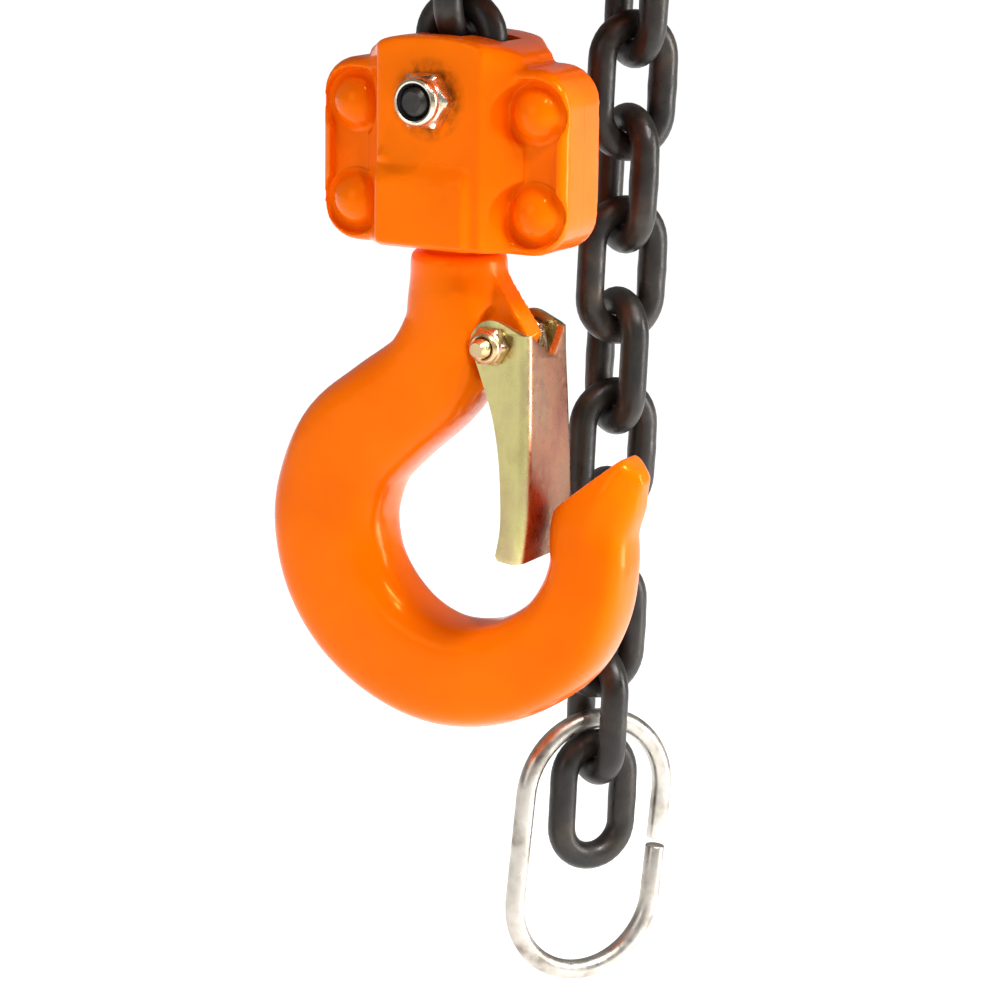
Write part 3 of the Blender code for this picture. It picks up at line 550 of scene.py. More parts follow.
def dark_steel():
    finish = Finish("blackened_steel", (0.07, 0.066, 0.06), 0.38, metallic=0.85)
    stops = [(0.3, (0.035, 0.033, 0.031)), (0.6, (0.075, 0.07, 0.064)), (0.75, (0.13, 0.11, 0.09))]
    finish.colour(finish.ramp(finish.noise(5.0, 6.0), stops))
    finish.roughness(finish.noise(1.8, 5.0), 0.3, 0.5)
    finish.bump([(finish.noise(0.8, 5.0), 0.02)])
    return finish.material


def black_grip():
    finish = Finish("moulded_black_grip", (0.018, 0.018, 0.019), 0.6)
    stops = [(0.3, (0.013, 0.013, 0.014)), (0.7, (0.027, 0.026, 0.026))]
    finish.colour(finish.ramp(finish.noise(8.0, 5.0), stops))
    finish.roughness(finish.noise(3.0, 4.0), 0.5, 0.72)
    finish.bump([(finish.noise(0.35, 2.0), 0.03)])
    return finish.material


def black_nylon():
    finish = Finish("nylon_ring", (0.02, 0.02, 0.024), 0.4)
    finish.bump([(finish.noise(0.6, 3.0), 0.02)])
    return finish.material


# Centre of the painted shade round the base of the chain pin nut on the block's front face; the front half's enamel
# carries it
NUT_SHADE_CENTRE = tuple(BLOCK @ Vector((0.0, -BLOCK_FRONT, 0.0)))
ENAMEL = orange_enamel("orange_enamel_plain")
ENAMEL_NUT_SHADE = orange_enamel("orange_enamel_nut_shade", [(NUT_SHADE_CENTRE, 5.4, 8.6)])
CHAIN = black_chain()
ZINC = yellow_zinc()
NUT = plated_nut()
STEEL = bright_steel()
DARK = dark_steel()
GRIP = black_grip()
NYLON = black_nylon()


# ---------------------------------------------------------------- chain


def link_place(node):
    """A link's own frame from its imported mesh: Z along it, Y square to its plane."""
    points = np.array([vertex.co for vertex in frame["nodes"][node].data.vertices], float)
    points = np.unique(np.round(points, 6), axis=0)
    middle = points.mean(axis=0)
    _, axes = np.linalg.eigh(np.cov((points - middle).T))
    return place(Vector(middle), Vector(axes[:, 0]), Vector(axes[:, 2]))


def link_solid():
    half_width = (LINK_WIDTH - CHAIN_WIRE) / 2
    half_length = (LINK_INNER_LENGTH + CHAIN_WIRE) / 2
    path = oval_path(half_width, half_length, 18)
    weld = len(path) - 2

    def wire(share):
        away = abs(share * len(path) - weld)
        return CHAIN_WIRE / 2 * (1 + 0.045 * math.exp(-((away / 0.9) ** 2)))

    return tube(path, wire, sides=24, closed=True)


def build_chain():
    solid = link_solid()
    for node in sorted(frame["nodes"]):
        if "_link_" not in node:
            continue
        hand_over(new_object(node + "_forged", [solid], link_place(node)), node, CHAIN, sharp=60)


def build_end_ring():
    low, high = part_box("chain_end_ring")
    wire, half_width, half_length, cut = 2.08, 16.3, 27.75, 0.8
    path = [Vector(p) for p in oval_path(half_width, half_length, 32)]
    middle = len(path) - 2
    ends = (Vector((half_width, 0, -cut)), Vector((half_width, 0, cut)))
    route = [ends[1]] + path[: middle - 1] + [ends[0]]
    lean = math.radians(5.6)
    ring_place = place((low + high) / 2, z_axis=(math.sin(lean), 0, math.cos(lean)))
    obj = new_object("end_ring_wire", [tube(route, wire, sides=24)], ring_place)
    bevel(obj, 0.3, 2, 60)
    hand_over(obj, "chain_end_ring", STEEL, sharp=50)


# ---------------------------------------------------------------- fasteners


def hex_reach(across_flats):
    """Radius of a hexagon whose corners are turned off where the profile is narrower."""

    def reach(radius, height, angle):
        turn = (angle % (math.pi / 3)) - math.pi / 6
        flat = across_flats / 2 / math.cos(turn)
        return min(flat, radius)

    return reach


def lock_nut(name, node, placement, across, bore, base, height, direction, centre, material, body=None):
    """Lock nut with a washer face, chamfered hexagon, rolled collar and nylon ring."""
    full = across / math.sqrt(3) + 0.05
    tall = height * 0.62
    collar = across * 0.455
    inner = bore + 0.05
    profile = [
        (inner, 0.0), (across * 0.47, 0.0), (full, 0.35), (full, tall - 0.7), (across * 0.49, tall - 0.05),
        (collar + 0.25, tall + 0.15), (collar, tall + 0.5), (collar, height - 0.9), (collar - 0.25, height - 0.35),
        (collar - 0.7, height), (collar - 1.0, height - 0.1), (collar - 1.05, height - 0.9), (inner, height - 0.9),
    ]
    turned_profile = [(r, base + direction * h) for r, h in profile]
    solid = turned(turned_profile, centre=centre, sides=72, bored=True, reach=hex_reach(across))
    obj = new_object(name, [solid], placement)
    hand_over(obj, node, material, sharp=30)
    ring = [(bore + 0.05, height - 0.85), (collar - 1.1, height - 0.85)]
    ring += [(collar - 1.15, height - 0.3), (bore + 0.45, height - 0.2)]
    insert = turned([(r, base + direction * h) for r, h in ring], centre=centre, bored=True)
    nylon = new_object(name + "_nylon", [insert], placement)
    hand_over(nylon, node, NYLON, body=BODY_OF[node])


def threaded(radius, pitch, low, high, centre, sides=48, steps=8):
    """A threaded stub along Y from low to high, tapered at both ends."""
    rings = []
    count = int((high - low) / pitch * steps)
    for i in range(count + 1):
        y = low + (high - low) * i / count
        fade = min(1.0, 0.2 + (y - low) / 1.4)
        ring = []
        for k in range(sides):
            angle = 2 * math.pi * k / sides
            phase = (y / pitch - k / sides) % 1.0
            r = min(radius - 0.3 * pitch * abs(2 * phase - 1), radius * (0.62 + 0.38 * fade))
            ring.append((centre[0] + r * math.cos(angle), y, centre[1] + r * math.sin(angle)))
        rings.append(ring)
    return skin(rings)


def build_block_fasteners():
    out = BLOCK_FRONT + GAP
    body = turned(
        ((3.0, -out), (PIN_RADIUS, -out + 0.01), (PIN_RADIUS, out), (7.4, out + 0.02), (7.4, 15.6), (6.9, 16.2), (1.5, 16.4)),
        reach=lambda r, h, a: hex_reach(11.6)(r, h, a) if h > out else r,
        sides=72,
    )
    stub = threaded(2.95, 0.9, -19.4, -out + 0.2, (0.0, 0.0))
    hand_over(new_object("chain_pin_bolt_shank", [body, stub], BLOCK), "chain_pin_bolt", DARK, sharp=30)
    lock_nut("chain_pin_lock_nut", "chain_pin_nut", BLOCK, 10.4, 3.2, -out + 0.25, 6.1, -1, (0.0, 0.0), NUT)


def build_rivets():
    dome = (
        (0.3, 9.4), (1.6, 9.2), (3.0, 8.6), (4.1, 7.7), (4.8, 6.8),
        (5.15, 6.2), (5.6, 5.8), (6.2, 5.6), (2.6, 5.55),
    )
    profile = [(r, -y) for r, y in dome] + list(reversed(dome))
    number = 0
    for x in (-RIVET_X, RIVET_X):
        for z in RIVET_Z:
            number += 1
            obj = new_object(f"painted_rivet_{number}", [turned(profile, centre=(x, z), sides=40)], BLOCK)
            hand_over(obj, f"block_rivet_{number}", ENAMEL, sharp=60)


# ---------------------------------------------------------------- hook block


def arched(half, low, shoulder, top, crown=0.62):
    """Housing outline: straight sides up to the shoulder and a low arch over it."""
    points = [(half, low), (half, shoulder)]
    for k in range(1, 9):
        angle = math.pi / 2 * k / 8
        rise = (top - shoulder) * math.sin(angle) ** crown
        points.append((half * (1 - 0.9 * (1 - math.cos(angle)) ** 0.8), shoulder + rise))
    return rounded([*points, *((-u, v) for u, v in reversed(points))], 0.5, 3)


def build_block_half(name, node, side, material):
    def y_range(near, far):
        return sorted((side * near, side * far))

    housing = []
    sections = (
        (-3.0, arched(17.9, -29.7, 6.2, 12.2)), (6.2, arched(17.7, -29.7, 6.2, 12.2)),
        (7.2, arched(16.6, -29.6, 6.8, 12.3)), (11.6, arched(12.5, -29.4, 9.6, 12.3)),
        (BLOCK_FRONT + 0.3, arched(11.6, -28.9, 9.8, 12.0)),
    )
    for y, outline in sections:
        housing.append([(u, side * y, v) for u, v in outline])
    obj = new_object(name, [skin(housing)], BLOCK)

    def flange_outline(inset):
        return rounded(box_outline(-27.5 + inset, -29.9 + inset, 27.5 - inset, 6.8 - inset), 7.6 - inset)

    flange = new_object("flange_tool", [soft_prism(flange_outline, *y_range(-3.0, 8.2), 2.4)], BLOCK)
    for x in (-1, 1):
        left, right = sorted((x * 9.0, x * 25.3))
        pocket = rounded(box_outline(left, -27.8, right, 4.6), 5.6)
        combine(flange, prism(pocket, *y_range(5.4, 12.0)), BLOCK, "DIFFERENCE")
    union = obj.modifiers.new("Union", "BOOLEAN")
    union.operation = "UNION"
    union.object = flange
    settle(obj)
    bpy.data.objects.remove(flange, do_unlink=True)
    cast(obj, 0.42, 0)
    for x in (-1, 1):
        for z in RIVET_Z:
            slope = ((6.6, side * 5.5), (7.3, side * 10.0), (8.6, side * 15.0))
            cone = turned(slope, centre=(x * RIVET_X, z), sides=41)
            combine(obj, cone, BLOCK, "DIFFERENCE")
    panel = []
    levels = (
        (9.0, -12.0, 9.0, -11.0), (12.3, -12.0, 9.4, -11.6),
        (14.0, -11.5, 8.8, -15.2), (14.3, -11.0, 8.2, -16.2),
    )
    for y, left, right, high in levels:
        low = -29.5 if y < 13 else -28.6
        panel.append([(u, side * y, v) for u, v in rounded(box_outline(left, low, right, high), 1.2)])
    combine(obj, skin(panel), BLOCK, "UNION")
    if side < 0:
        bump = ((0.2, -13.4), (0.9, -13.3), (1.5, -12.8), (1.9, -11.0))
        lump = turned(bump, centre=(-10.2, -11.6), sides=20)
        combine(obj, lump, BLOCK, "UNION")
    cast(obj, 0.42, 7)
    combine(obj, prism(box_outline(-40, -50, 40, 40), *y_range(0.02, -9.0)), BLOCK, "DIFFERENCE")
    combine(obj, prism(rounded(box_outline(-11.3, -12.0, 11.3, 24.0), 2.0), -4.4, 4.4), BLOCK, "DIFFERENCE")
    combine(obj, prism(box_outline(-4.7, 8.2, 4.7, 24.0), -8.7, 8.7), BLOCK, "DIFFERENCE")
    neck = ((7.1, -36.0), (7.1, -25.7), (10.3, -25.7), (10.3, -11.0))
    combine(obj, turned(neck, axis="Z", sides=48), BLOCK, "DIFFERENCE")
    combine(obj, rod(PIN_RADIUS + 0.15, -20, 20), BLOCK, "DIFFERENCE")
    hand_over(obj, node, material, sharp=50)


# ---------------------------------------------------------------- hooks


def forged_section():
    """Section of the forging from its outer edge (-1) to its inner edge (+1) and back."""
    half = [(-1.0, 0.0), (-0.99, 0.3), (-0.92, 0.62), (-0.76, 0.88), (-0.5, 0.98), (0.0, 1.0)]
    half += [(0.5, 1.0), (0.72, 0.93), (0.9, 0.7), (0.985, 0.38), (1.0, 0.0)]
    ring = half + [(u, -v) for u, v in reversed(half[1:-1])]
    for _ in range(2):
        finer = []
        for a, b in zip(ring, ring[1:] + ring[:1]):
            finer.append((0.75 * a[0] + 0.25 * b[0], 0.75 * a[1] + 0.25 * b[1]))
            finer.append((0.25 * a[0] + 0.75 * b[0], 0.25 * a[1] + 0.75 * b[1]))
        ring = finer
    return ring


def hook_solid(shank):
    section = forged_section()
    angles = [math.atan2(v, u) for u, v in section]
    stations = curve_through([Vector(s) for s in HOOK_SPINE], 6)
    rings = []
    for radius, height in shank:
        rings.append([(radius * math.cos(a), radius * math.sin(a), height) for a in angles])
    last = len(stations) - 1
    points = [Vector((s[0], 0, s[1] + COLLAR_BELOW_PIN)) for s in stations]
    for i, station in enumerate(stations):
        along = (points[min(i + 1, last)] - points[max(i - 1, 0)]).normalized()
        out = Vector((-along.z, 0, along.x))
        forged = min(max((i - 2) / 14, 0), 1)
        beak = min(max((i - last + 16) / 14, 0), 1)
        ring = []
        for (u, v), angle in zip(section, angles):
            u = u * forged + math.cos(angle) * (1 - forged)
            v = v * forged + math.sin(angle) * (1 - forged)
            ridge = math.copysign(1 - abs(u + 0.15) ** 1.2 / 1.25, v) if abs(v) > 0.02 else v
            v = v * (1 - 0.75 * beak) + ridge * 0.75 * beak * min(1.0, abs(v) * 3)
            ring.append(points[i] + out * (station[2] * u) + Vector((0, station[3] * v, 0)))
        rings.append(ring)
    tip = points[-1] + (points[-1] - points[-2]).normalized() * 1.2
    rings.append([tip + (point - points[-1]) * 0.66 for point in rings[-1]])
    return skin(rings)


def build_hook(name, node, placement, shank):
    obj = new_object(name, [hook_solid(shank)], placement)
    fin = [(1.0, -5.0), (9.4, -4.4), (11.4, -7.6), (15.6, -13.4), (17.6, -16.6)]
    outline = rounded([*fin, (16.2, -19.0), (13.2, -23.6), (5.0, -30.0)], 1.0, 4)
    combine(obj, prism(outline, -3.1, 3.1), placement, "UNION")
    relief = rounded(((9.4, -10.5), (24.0, -10.5), (24.0, -33.0), (7.6, -26.5), (6.4, -18.0)), 2.5)
    for side in (-1, 1):
        combine(obj, prism(relief, *sorted((side * 3.4, side * 14.0))), placement, "DIFFERENCE")
    (x0, z0), (x1, z1) = BEAK_CORNER, BEAK_TIP
    wedge = ((x0, z0), (x1, z1), (x1 + 6.0, z1 + 12.0), (x0 - 8.0, z1 + 12.0), (x0 - 8.0, z0 - 6.45))
    combine(obj, prism(wedge, -12.0, 12.0), placement, "DIFFERENCE")
    cast(obj, 0.55, 6)
    combine(obj, rod(2.2, -12, 12, centre=LATCH_PIVOT), placement, "DIFFERENCE")
    hand_over(obj, node, ENAMEL, sharp=60)


def latch_outline():
    """Side view of the latch: ear round the pivot, hollow front edge, spine to the right."""
    u, v = LATCH_PIVOT
    ear = []
    for k in range(15):
        angle = math.radians(62 + 158 * k / 14)
        ear.append((u + 4.9 * math.cos(angle), v + 4.9 * math.sin(angle)))
    front = [(8.8, -20.8), (10.8, -25.6), (13.2, -32.0), (14.9, -40.0)]
    front += [(15.7, -48.5), (15.8, -54.5), (14.9, -59.6)]
    lower = [(15.4, -60.6), (18.4, -61.0), (30.0, -60.2)]
    return ear + [tuple(p) for p in curve_through(front, 5)] + lower + [(30.0, -15.4), (19.4, -15.4)]


def latch_channel():
    """The bent sheet before it is trimmed: a U section drawn along the spine, wider lower down."""
    back = [(20.2, -8.0), (20.6, -20.0), (21.1, -34.0), (21.4, -46.0), (21.3, -54.0), (20.4, -62.0)]
    spine = curve_through(back, 6)
    bend = 2.4
    rings = []
    for x, z in spine:
        share = min(max((-20.0 - z) / 36.0, 0.0), 1.0)
        half = LATCH_HALF + LATCH_FLARE * share
        outer, inner = [(0.0, -half)], [(0.0, -half + LATCH_SHEET)]
        for side in (-1, 1):
            for k in range(9):
                angle = math.pi / 2 * (k / 8 if side < 0 else 1 - k / 8)
                cx, cy = x - bend, side * (half - bend)
                outer.append((cx + bend * math.sin(angle), cy + side * bend * math.cos(angle)))
                r = bend - LATCH_SHEET
                inner.append((cx + r * math.sin(angle), cy + side * r * math.cos(angle)))
        outer.append((0.0, half))
        inner.append((0.0, half - LATCH_SHEET))
        rings.append([(px, py, z) for px, py in outer + inner[::-1]])
    return skin(rings)


def build_latch(name, node, placement):
    obj = new_object(name, [latch_channel()], placement)
    wide = LATCH_HALF + LATCH_FLARE + 1.0
    combine(obj, prism(latch_outline(), -wide, wide), placement, "INTERSECT")
    edge = [(-7.6, -15.0), (-5.4, -16.6), (-2.2, -18.6), (0.0, -20.2)]
    edge += [(1.8, -20.4), (4.4, -18.0), (6.8, -15.2)]
    notch = [tuple(p) for p in curve_through(edge, 4)] + [(6.8, -5.0), (-7.6, -5.0)]
    combine(obj, prism(notch, 17.2, 30.0, axis="X"), placement, "DIFFERENCE")
    combine(obj, rod(2.15, -12, 12, centre=LATCH_PIVOT), placement, "DIFFERENCE")
    bevel(obj, 0.28, 2, 35)
    hand_over(obj, node, red_zinc(placement), sharp=35)


def spring_path():
    """Up from the lug, round the pivot and down the inside of the spine."""
    u, v = LATCH_PIVOT
    path = [(u + 4.2, 3.9, v + 2.6)]
    steps = 60
    for k in range(steps + 1):
        angle = math.radians(25) + 2 * math.pi * 2.0 * k / steps
        path.append((u + 3.3 * math.cos(angle), 3.9 + 2.6 * k / steps, v + 3.3 * math.sin(angle)))
    path.append((18.4, 6.5, -27.0))
    return path


def build_latch_fittings():
    u, v = LATCH_PIVOT
    wire = new_object("lower_latch_spring_wire", [tube(spring_path(), 0.45, sides=12)], HOOK)
    hand_over(wire, "bottom_latch_spring", STEEL, sharp=60)
    head = LATCH_HALF + GAP
    shank = [(1.9, -LATCH_HALF), (1.95, head), (3.6, head + 0.02)]
    shank += [(3.7, head + 1.8), (3.2, head + 2.6), (0.8, head + 2.9)]
    stub = threaded(2.0, 0.7, -15.5, -LATCH_HALF - 0.3, (u, v))
    bolt = new_object("lower_latch_bolt_shank", [turned(shank, centre=(u, v)), stub], HOOK)
    hand_over(bolt, "bottom_latch_bolt", ZINC, sharp=35)
    base = -LATCH_HALF - 0.15
    lock_nut("lower_latch_lock_nut", "bottom_latch_nut", HOOK, 7.2, 2.15, base, 3.9, -1, (u, v), ZINC)
    rim = ((0.6, head + 1.7), (2.6, head + 1.6), (3.4, head + 1.0), (3.4, head + 0.05), (2.0, head))
    pin = turned([(r, -h) for r, h in rim] + [(r, h) for r, h in reversed(rim)], centre=(u, v))
    hand_over(new_object("upper_latch_rivet", [pin], UPPER_HOOK), "top_latch_pin", ZINC, sharp=35)


# ---------------------------------------------------------------- body


def plate_outline(inset=0.0):
    points = (
        (-28.0, 45.0), (62.0, 45.0), (72.0, 58.0), (72.0, 98.0),
        (50.0, 124.0), (26.0, 138.0), (-28.0, 138.0),
    )
    middle = Vector((22.0, 91.5))
    drawn = []
    for point in points:
        arm = Vector(point) - middle
        drawn.append(tuple(middle + arm * (1 - inset / arm.length * 1.25)))
    return rounded(drawn, 8.0 - inset)


def build_side_plates():
    centre = BODY.inverted() @ joint_point("sheave_turn")
    for node, side in (("side_plate_gear", 1), ("side_plate_brake", -1)):
        low, high = sorted((side * PLATE_IN, side * PLATE_OUT))
        obj = new_object(node + "_pressed", [soft_prism(plate_outline, low, high, 1.1, steps=3)], BODY)
        bore = rod(12.3, *sorted((side * 8, side * 24)), centre=(centre.x, centre.z))
        combine(obj, bore, BODY, "DIFFERENCE")
        hand_over(obj, node, ENAMEL, sharp=30)


def hex_end(radius, start, end, across):
    """Chamfered hexagon head as a profile between two heights."""
    full = across / math.sqrt(3) + 0.05
    step = math.copysign(0.6, end - start)
    side = [(radius, start), (full, start), (full, end - step)]
    return side + [(across * 0.47, end), (across * 0.2, end + step * 0.2)]


def hex_outside_plates(radius, height, angle):
    return hex_reach(10.2)(radius, height, angle) if abs(height) > PLATE_OUT else radius


def build_body_bolts():
    out = PLATE_OUT + GAP
    for name, centre in zip(("yoke_bolt_left", "yoke_bolt_right", "stay_bolt"), (*YOKE_BOLTS, STAY_BOLT)):
        profile = hex_end(4.0, -out, -out - 4.6, 10.2)[::-1] + hex_end(4.0, out, out + 4.6, 10.2)
        solid = turned(profile, centre=centre, sides=72, reach=hex_outside_plates)
        washers = []
        for side in (-1, 1):
            near, far = side * (out - 0.28), side * (out + 0.6)
            section = ((4.1, near), (5.9, near), (5.9, far), (4.1, far))
            washers.append(turned(section, centre=centre, bored=True))
        hand_over(new_object(name + "_hex", [solid], BODY), name, STEEL, sharp=30)
        for number, washer in enumerate(washers, 1):
            obj = new_object(f"{name}_washer_{number}", [washer], BODY)
            hand_over(obj, name, STEEL, body=BODY_OF[name])


def build_yoke_and_guide():
    def yoke_outline(inset):
        return rounded(box_outline(-25.0 + inset, 113.6 + inset, 25.0 - inset, 138.6 - inset), 4.5 - inset)

    def guide_outline(inset):
        return rounded(box_outline(-25.0 + inset, 45.4 + inset, 66.0 - inset, 50.0 - inset), 1.6 - inset)

    yoke = new_object("yoke_forging", [soft_prism(yoke_outline, -12.9, 12.9, 1.4)], BODY)
    combine(yoke, rod(11.6, 110.0, 126.8, axis="Z"), BODY, "DIFFERENCE")
    combine(yoke, rod(6.3, 120.0, 145.0, axis="Z"), BODY, "DIFFERENCE")
    hand_over(yoke, "top_yoke", DARK, sharp=35)
    guide = new_object("guide_casting", [soft_prism(guide_outline, -12.9, 12.9, 1.0)], BODY)
    finger = ((16.5, 48.0), (29.0, 48.0), (27.5, 57.0), (23.0, 62.5), (19.0, 58.0))
    combine(guide, prism(rounded(finger, 1.0, 3), -2.7, 2.7), BODY, "UNION")
    for x0, x1 in ((-11.4, 11.4), (30.3, 54.0)):
        window = rounded(((x0, -11.3), (x1, -11.3), (x1, 11.3), (x0, 11.3)), 3.0)
        combine(guide, prism(window, 40.0, 56.0, axis="Z"), BODY, "DIFFERENCE")
    bevel(guide, 0.6, 2, 40)
    hand_over(guide, "chain_guide", DARK, sharp=35)
    section = ((6.2, 13.4), (8.6, 13.4), (10.5, 14.2), (10.5, 23.2), (8.6, 24.0), (6.2, 24.0))
    nut = turned(section, axis="Z", bored=True, sides=72, reach=hex_reach(18.0))
    hand_over(new_object("top_hook_hex_nut", [nut], UPPER_HOOK), "top_hook_nut", DARK, sharp=30)


def build_covers():
    low = PLATE_OUT + GAP
    rings = []
    wall = [(42.5, 24.5, low), (42.5, 24.5, low + 1.6), (41.4, 23.4, low + 2.0)]
    wall += [(40.5, 22.5, low + 3.2), (40.3, 22.3, low + 14.5)]
    for k in range(7):
        t = math.pi / 2 * k / 6
        inset = 4.5 * (1 - math.cos(t))
        wall.append((40.3 - inset, 22.3 - inset, low + 14.5 + 4.5 * math.sin(t)))
    for length, width, y in wall:
        rings.append([(u, y, v) for u, v in slot_outline(length, width)])
    gear = new_object("gear_cover_pressing", [skin(rings)], AXLE)
    hollow = []
    for length, width, y in ((38.9, 20.9, low - 1.0), (38.6, 20.6, low + 13.5), (34.5, 16.5, low + 17.4)):
        hollow.append([(u, y, v) for u, v in slot_outline(length, width)])
    combine(gear, skin(hollow), AXLE, "DIFFERENCE")
    panel = []
    for share, y in ((1.06, 17.6), (1.0, 18.5), (0.94, 18.8)):
        panel.append([(u * share, low + y, v * share) for u, v in slot_outline(28.0, 12.0)])
    combine(gear, skin(panel), AXLE, "UNION")
    bevel(gear, 0.4, 2, 40)
    hand_over(gear, "gear_cover", ENAMEL, sharp=30)
    profile = [(36.2, low), (36.2, low + 1.6), (35.4, low + 2.0), (34.8, low + 3.0), (34.8, low + 12.6)]
    for k in range(1, 7):
        t = math.pi / 12 * k
        profile.append((34.8 - 5 * (1 - math.cos(t)), low + 12.6 + 5 * math.sin(t)))
    profile += [(22.0, low + 17.6), (21.0, low + 17.2), (16.5, low + 17.2)]
    profile += [(15.5, low + 17.6), (14.5, low + 17.4), (14.5, low + 16.0)]
    profile += [(28.0, low + 16.0), (33.2, low + 11.5), (33.2, low)]
    drum = turned([(r, -h) for r, h in profile], sides=96, bored=True)
    brake = new_object("brake_cover_pressing", [drum], AXLE)
    hand_over(brake, "brake_cover", ENAMEL, sharp=30)


def build_hand_wheel():
    """Eight-lobed cast knob: a smooth grip round a dished face with a hub."""
    profile = (
        (6.3, -50.9, 0), (24.0, -50.8, 0.6), (26.6, -51.5, 1), (28.0, -53.2, 1), (28.4, -55.8, 1), (28.0, -58.3, 1),
        (26.8, -60.0, 1), (25.0, -60.6, 0.8), (23.2, -60.3, 0.4), (22.0, -59.2, 0.1), (20.8, -57.2, 0), (19.4, -56.6, 0),
        (12.0, -56.6, 0), (10.8, -57.2, 0), (10.2, -59.4, 0), (9.6, -60.4, 0), (8.6, -60.6, 0), (6.3, -60.6, 0),
    )
    rings = []
    for radius, height, share in profile:
        ring = []
        for k in range(160):
            angle = 2 * math.pi * k / 160
            reach = radius + share * 1.6 * math.cos(8 * angle)
            ring.append((reach * math.cos(angle), height, reach * math.sin(angle)))
        rings.append(ring)
    hand_over(new_object("hand_wheel_cast", [skin(rings, closed=True)], AXLE), "hand_wheel", ENAMEL, sharp=50)


def build_lever():
    hub = ((-20.0, -20.0), (12.0, -27.0), (52.0, -12.0), (52.0, 12.0), (12.0, 27.0), (-20.0, 20.0))
    obj = new_object("lever_forging", [prism(rounded(hub, 9.0), -47.2, -35.8)], LEVER)
    blade = ((44.0, -11.0), (80.0, -8.5), (235.0, -7.0), (235.0, 7.0), (80.0, 8.5), (44.0, 11.0))
    combine(obj, prism(blade, -45.9, -37.1), LEVER, "UNION")
    channel = rounded(((60.0, -4.6), (146.0, -3.6), (146.0, 3.6), (60.0, 4.6)), 2.4)
    combine(obj, prism(channel, -47.0, -44.6), LEVER, "DIFFERENCE")
    cast(obj, 0.8, 4)
    combine(obj, rod(14.4, -60, -30), LEVER, "DIFFERENCE")
    combine(obj, rod(2.3, -60, -30, centre=(SELECTOR_X, 0)), LEVER, "DIFFERENCE")
    hand_over(obj, "lever_arm", ENAMEL, sharp=50)
    rings = []
    start, length = 140.0, 105.0
    for i in range(106):
        x = length * i / 105
        size = 0.965 - 0.035 * math.cos(4 * math.pi * x / length)
        ends = min(1.0, 0.82 + 0.18 * math.sqrt(min(x, length - x) / 4.0))
        rib = 0.035 * max(0.0, math.cos(2 * math.pi * x / 5.0)) if 12 < x < 93 else 0.0
        ring = []
        for k in range(48):
            angle = 2 * math.pi * k / 48
            reach = (size - rib) * ends
            ring.append((start + x, -41.5 + 9.0 * reach * math.sin(angle), 13.0 * reach * math.cos(angle)))
        rings.append(ring)
    grip = new_object("lever_grip_moulded", [skin(rings)], LEVER)
    combine(grip, prism(box_outline(130.0, -8.4, 235.4, 8.4), -46.0, -37.0), LEVER, "DIFFERENCE")
    hand_over(grip, "lever_grip", GRIP, sharp=50)
    thumb = ((-6.0, -6.5), (6.0, -6.5), (10.0, 0.0), (24.0, 3.0), (24.0, 9.0), (6.0, 7.0), (-6.0, 6.5))
    outline = [(u + SELECTOR_X, v) for u, v in rounded(thumb, 2.0, 5)]
    selector = new_object("selector_thumb_piece", [prism(outline, -51.4, -47.7)], LEVER)
    combine(selector, rod(2.0, -49.0, -34.0, centre=(SELECTOR_X, 0)), LEVER, "UNION")
    bevel(selector, 0.7, 3, 40)
    hand_over(selector, "selector_lever", DARK, sharp=35)


def carry_over():
    """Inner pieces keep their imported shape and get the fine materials."""
    looks = {"dark_steel": DARK, "bright_steel": STEEL, "orange_enamel": ENAMEL, "yellow_zinc": ZINC}
    inner = (
        "load_sheave", "load_gear", "intermediate_gear_1", "intermediate_gear_2",
        "pinion_shaft", "brake_hub", "ratchet_disc", "ratchet_pawl",
    )
    for node in inner:
        obj = frame["nodes"][node]
        obj.data.materials.clear()
        obj.data.materials.append(looks[SLOT_OF[node]])


# ---------------------------------------------------------------- stage


def build_stage():
    low = -0.62
    reach = 12.0
    mesh = bpy.data.meshes.new("studio_floor")
    corners = [(-reach, -reach, low), (reach, -reach, low), (reach, reach, low), (-reach, reach, low)]
    mesh.from_pydata(corners, [], [(0, 1, 2, 3)])
    floor = bpy.data.objects.new("studio_floor", mesh)
    bpy.context.scene.collection.objects.link(floor)
    paper = Finish("white_paper", (0.8, 0.8, 0.8), 0.9)
    paper.shader.inputs["Emission Color"].default_value = (1, 1, 1, 1)
    paper.shader.inputs["Emission Strength"].default_value = 0.8
    mesh.materials.append(paper.material)
    world = bpy.data.worlds.new("studio")
    bpy.context.scene.world = world
    world.use_nodes = True
    world.node_tree.nodes["Background"].inputs["Color"].default_value = (1, 1, 1, 1)
    world.node_tree.nodes["Background"].inputs["Strength"].default_value = 0.28


def add_light(name, place_m, target, size, power):
    data = bpy.data.lights.new(name, "AREA")
    data.shape = "RECTANGLE"
    data.size, data.size_y = size
    data.energy = power
    light = bpy.data.objects.new(name, data)
    bpy.context.scene.collection.objects.link(light)
    light.location = place_m
    light.rotation_euler = (Vector(place_m) - Vector(target)).to_track_quat("Z", "Y").to_euler()


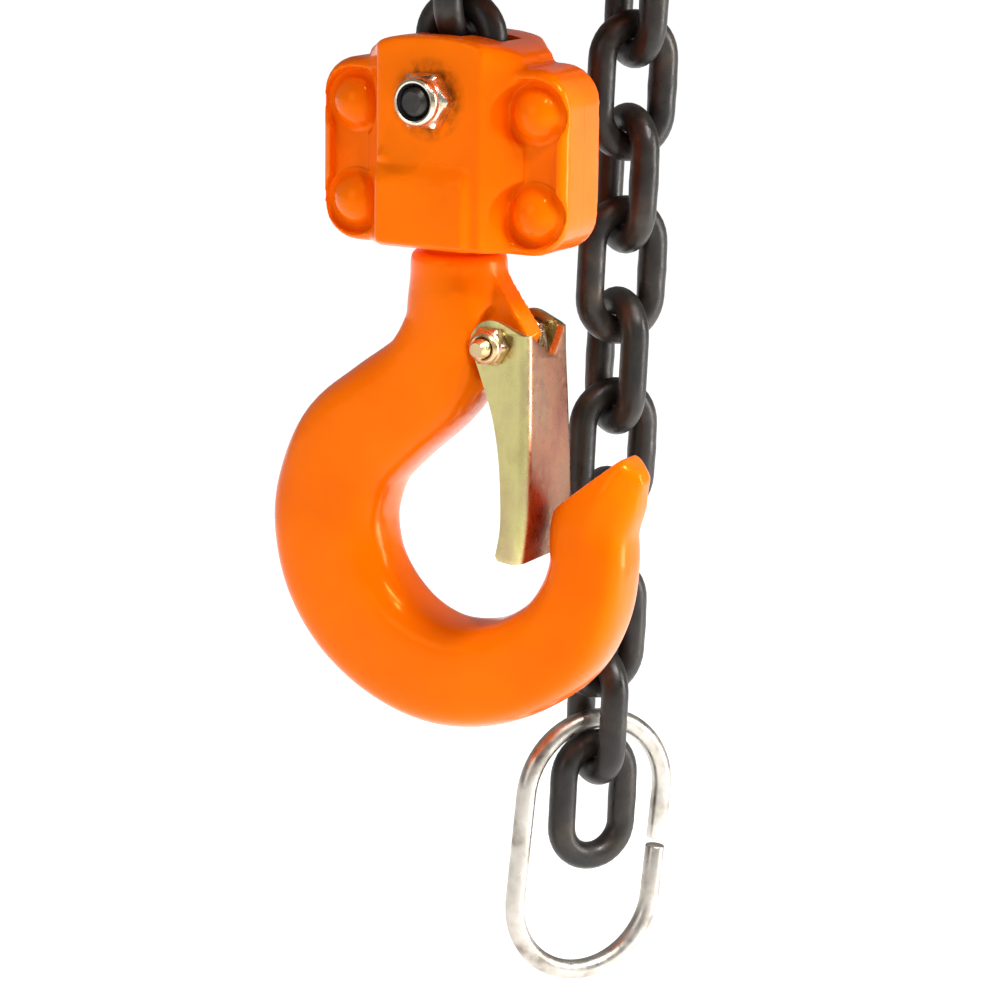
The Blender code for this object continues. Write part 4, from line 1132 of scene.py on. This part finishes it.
def build_camera():
    azimuth, elevation, roll = math.radians(-27.03), math.radians(13.05), math.radians(0.76)
    distance = 0.6842
    target = Vector((0.0, 0.0, -0.29806))
    right = Vector((math.cos(azimuth), math.sin(azimuth), 0))
    level = math.cos(elevation)
    back = Vector((math.sin(azimuth) * level, -math.cos(azimuth) * level, math.sin(elevation)))
    up = back.cross(right)
    target += right * 0.008747
    across = right * math.cos(roll) + up * math.sin(roll)
    over = up * math.cos(roll) - right * math.sin(roll)
    data = bpy.data.cameras.new("camera")
    data.lens = 121.63
    data.sensor_width = 36.0
    camera = bpy.data.objects.new("camera", data)
    bpy.context.scene.collection.objects.link(camera)
    turn = Matrix((across, over, back)).transposed().to_4x4()
    camera.matrix_world = Matrix.Translation(target + back * distance) @ turn
    bpy.context.scene.camera = camera
    return right, up, back, target


def build_lights(right, up, back, target):
    key = target + right * 0.7 + up * 0.95 + back * 0.75
    add_light("key", key, target, (0.32, 0.32), 17.0)
    side = target + right * 1.0 + up * 0.1 + back * 0.1
    add_light("side", side, target, (0.25, 0.8), 8.0)
    sparkle = target + right * 0.25 + up * 0.9 + back * 0.9
    add_light("sparkle", sparkle, target, (0.05, 0.05), 3.5)
    fill = target - right * 0.8 + up * 0.2 + back * 0.9
    add_light("fill", fill, target, (0.6, 0.6), 2.0)


right, up, back, target = build_camera()
build_stage()
build_lights(right, up, back, target)
bpy.context.scene.view_settings.view_transform = "Standard"

build_chain()
build_end_ring()
build_block_half("front_half_casting", "block_front_half", -1, ENAMEL_NUT_SHADE)
build_block_half("rear_half_casting", "block_rear_half", 1, ENAMEL)
build_rivets()
build_block_fasteners()
build_hook("lower_hook_forging", "bottom_hook", HOOK, LOWER_SHANK)
build_hook("upper_hook_forging", "top_hook", UPPER_HOOK, UPPER_SHANK)
build_latch("lower_latch_pressing", "bottom_latch", HOOK)
build_latch("upper_latch_pressing", "top_latch", UPPER_HOOK)
build_latch_fittings()
build_side_plates()
build_body_bolts()
build_yoke_and_guide()
build_covers()
build_hand_wheel()
build_lever()
carry_over()
